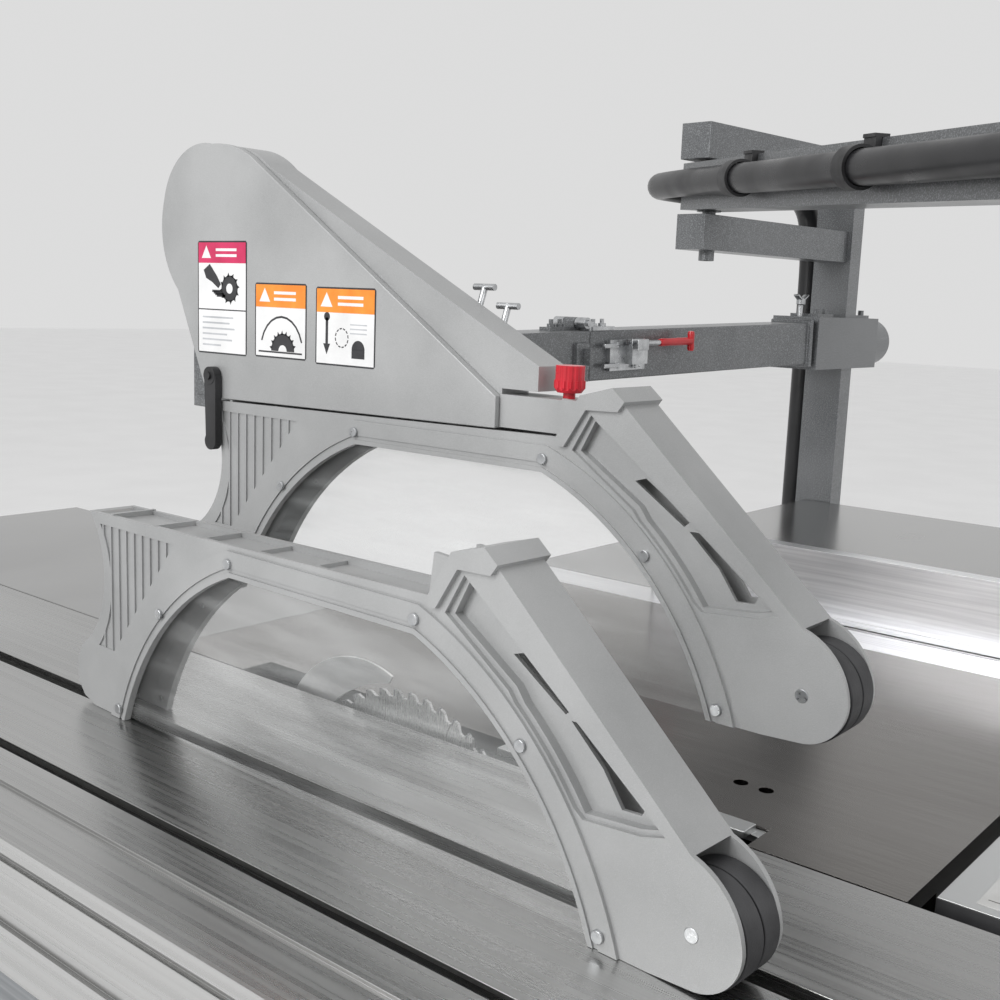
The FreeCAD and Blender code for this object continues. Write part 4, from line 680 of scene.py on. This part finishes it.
class Label:
    """A thin plate on the cover; its own u runs right and v runs up, in millimetres."""

    def __init__(self, name, y_far, y_near, z_low, z_high):
        self.name, self.shape = name, bmesh.new()
        self.wide, self.tall = y_far - y_near, z_high - z_low
        self.y_far, self.z_low = y_far, z_low

    def patch(self, points, finish, level):
        """A flat outline, level steps proud of the plate."""
        x = cover_low.x * 1000 - 0.15 - 0.12 * level
        ring = [self.shape.verts.new((x / 1000, (self.y_far - u) / 1000, (self.z_low + v) / 1000 + top))
                for u, v in points]
        back = [self.shape.verts.new((x / 1000 + 0.0003, v.co.y, v.co.z)) for v in ring]
        faces = [self.shape.faces.new(ring), self.shape.faces.new(back[::-1])]
        for i in range(len(ring)):
            j = (i + 1) % len(ring)
            faces.append(self.shape.faces.new((ring[j], ring[i], back[i], back[j])))
        for face in faces:
            face.material_index = finish

    def bar(self, u, v, wide, tall, finish, level=2):
        self.patch([(u, v), (u + wide, v), (u + wide, v + tall), (u, v + tall)], finish, level)

    def wheel(self, u, v, radius, finish, level=2, start=0, end=360, steps=28):
        turn = [math.radians(start + (end - start) * i / steps) for i in range(steps + (end - start < 360))]
        self.patch([(u + radius * math.cos(a), v + radius * math.sin(a)) for a in turn], finish, level)

    def header(self, share, finish):
        """Border, field, coloured header with a small triangle and two bars."""
        w, t = self.wide, self.tall
        self.patch([(2, 0), (w - 2, 0), (w, 2), (w, t - 2), (w - 2, t), (2, t), (0, t - 2), (0, 2)], 1, 0)
        self.bar(1.6, 1.6, w - 3.2, t - 3.2, 0, 1)
        low = t - 1.6 - share * t
        self.patch([(1.6, low), (w - 1.6, low), (w - 1.6, t - 1.6), (1.6, t - 1.6)], finish, 2)
        size = share * t * 0.34
        self.patch([(7, low + size * 0.7), (7 + 2.2 * size, low + size * 0.7), (7 + 1.1 * size, low + size * 2.5)], 0, 3)
        for i, wide in enumerate((0.42, 0.42)):
            self.bar(w * 0.38, low + share * t * (0.30 + 0.28 * i), w * wide, share * t * 0.13, 0, 3)

    def finish(self):
        piece = lay(self.name, self.shape, [plate_white, plate_dark, plate_grey, plate_red, plate_orange],
                    "hood", smooth=False)
        return piece


hand_label = Label("hood_label_a", 292, 213, 334, 447)
hand_label.header(0.18, 3)
hand_label.wheel(52, 66, 13, 1)
hand_label.wheel(52, 66, 5, 0, 3)
for i in range(12):
    a = math.radians(30 * i)
    hand_label.patch([(52 + 12 * math.cos(a), 66 + 12 * math.sin(a)), (52 + 16 * math.cos(a + 0.1), 66 + 16 * math.sin(a + 0.1)),
                      (52 + 12 * math.cos(a + 0.4), 66 + 12 * math.sin(a + 0.4))], 1, 2)
hand_label.patch([(10, 84), (20, 90), (32, 78), (38, 70), (34, 66), (24, 72), (14, 76)], 1, 2)
for i in range(4):
    hand_label.bar(24 + 2.5 * i, 62 - 1.5 * i, 14, 2.4, 1)
hand_label.bar(1.6, 44, 75.8, 1.2, 1)
for i, wide in enumerate((50, 44, 52, 40, 48, 30)):
    hand_label.bar(8, 36 - 5.6 * i, wide, 1.7, 2)
hand_label.finish()

blade_label = Label("hood_label_b", 200, 124, 335, 407)
blade_label.header(0.30, 4)
blade_label.wheel(42, 7, 17, 1, start=0, end=180)
blade_label.wheel(42, 7, 6, 0, 3, start=0, end=180)
for i in range(9):
    a = math.radians(10 + 19 * i)
    blade_label.patch([(42 + 16 * math.cos(a), 7 + 16 * math.sin(a)), (42 + 20 * math.cos(a + 0.12), 7 + 20 * math.sin(a + 0.12)),
                       (42 + 16 * math.cos(a + 0.26), 7 + 16 * math.sin(a + 0.26))], 1, 2)
for i in range(10):
    first, second = math.radians(18 + 14.4 * i), math.radians(18 + 14.4 * (i + 1))
    blade_label.patch([(40 + 30 * math.cos(first), 6 + 33 * math.sin(first)), (40 + 32 * math.cos(first), 6 + 35 * math.sin(first)),
                       (40 + 32 * math.cos(second), 6 + 35 * math.sin(second)), (40 + 30 * math.cos(second), 6 + 33 * math.sin(second))], 1, 2)
blade_label.bar(6, 5, 64, 1.6, 1)
blade_label.finish()

lever_label = Label("hood_label_c", 111, 31, 333, 405)
lever_label.header(0.30, 4)
lever_label.bar(14, 20, 3.4, 24, 1)
lever_label.wheel(15.7, 45, 4, 1)
lever_label.patch([(11, 20), (20.4, 20), (15.7, 10)], 1, 2)
for i in range(12):
    first, second = math.radians(30 * i), math.radians(30 * i + 20)
    lever_label.patch([(36 + 8 * math.cos(first), 26 + 8 * math.sin(first)), (36 + 9.2 * math.cos(first), 26 + 9.2 * math.sin(first)),
                       (36 + 9.2 * math.cos(second), 26 + 9.2 * math.sin(second)), (36 + 8 * math.cos(second), 26 + 8 * math.sin(second))], 1, 2)
lever_label.wheel(58, 16, 8.5, 1, start=0, end=180)
lever_label.bar(49.5, 8, 17, 8.2, 1)
for i in range(3):
    lever_label.bar(47, 38 - 4 * i, 22, 1.2, 2)
lever_label.finish()

red_plastic = Finish("red_plastic", 0.3, coat=0.2)
red_plastic.paint(red_plastic.shades(red_plastic.grain(60, detail=5), (0.50, 0.006, 0.018), (0.62, 0.012, 0.03)))
red_plastic.relief(red_plastic.grain(900), 0.15, 0.0003)
dress(red_plastic, ["guard_knob"], 0.0007)


# ---------------------------------------------------------------- floor, light and view
# A plain pale floor under soft studio light, seen from the infeed side of the sliding table.
floor_mesh = bpy.data.meshes.new("floor")
floor_mesh.from_pydata([(-30, -30, 0), (30, -30, 0), (30, 30, 0), (-30, 30, 0)], [], [(0, 1, 2, 3)])
floor_paint = Finish("floor_paint", 0.8)
floor_paint.paint(floor_paint.shades(floor_paint.grain(2), (0.90, 0.90, 0.90), (0.93, 0.93, 0.93)))
floor_mesh.materials.append(floor_paint.material)
floor = bpy.data.objects.new("floor", floor_mesh)
bpy.context.scene.collection.objects.link(floor)

sky = bpy.data.worlds.new("studio")
bpy.context.scene.world = sky
sky.use_nodes = True
backdrop = sky.node_tree.nodes["Background"]
backdrop.inputs["Color"].default_value = (1, 1, 1, 1)
backdrop.inputs["Strength"].default_value = 0.72


def softbox(name, at, target, size, power):
    lamp = bpy.data.lights.new(name, "AREA")
    lamp.shape, lamp.size, lamp.size_y, lamp.energy = "RECTANGLE", size[0], size[1], power
    held = bpy.data.objects.new(name, lamp)
    held.matrix_world = (Matrix.Translation(at) @
                         (Vector(at) - Vector(target)).to_track_quat("Z", "Y").to_matrix().to_4x4())
    bpy.context.scene.collection.objects.link(held)


softbox("key", (-3.6, 0.6, 3.0), (0, 0, 1.1), (2.4, 2.4), 120)
softbox("fill", (0.5, -3.5, 3.2), (0.4, 0, 1.0), (3, 2), 30)

blade_low, blade_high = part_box("saw_blade")
lens = bpy.data.cameras.new("view")
lens.sensor_width = 36
lens.lens = 43.3
camera = bpy.data.objects.new("view", lens)
aim = Matrix(((0.6402, 0.1031, -0.7613), (-0.7673, 0.1338, -0.6271), (0.0372, 0.9856, 0.1648)))
stand = Vector(((blade_low.x + blade_high.x) / 2 - 0.790, (blade_low.y + blade_high.y) / 2 - 0.752, top + 0.400))
camera.matrix_world = Matrix.Translation(stand) @ aim.to_4x4()
bpy.context.scene.collection.objects.link(camera)
bpy.context.scene.camera = camera
bpy.context.scene.view_settings.view_transform = "Standard"
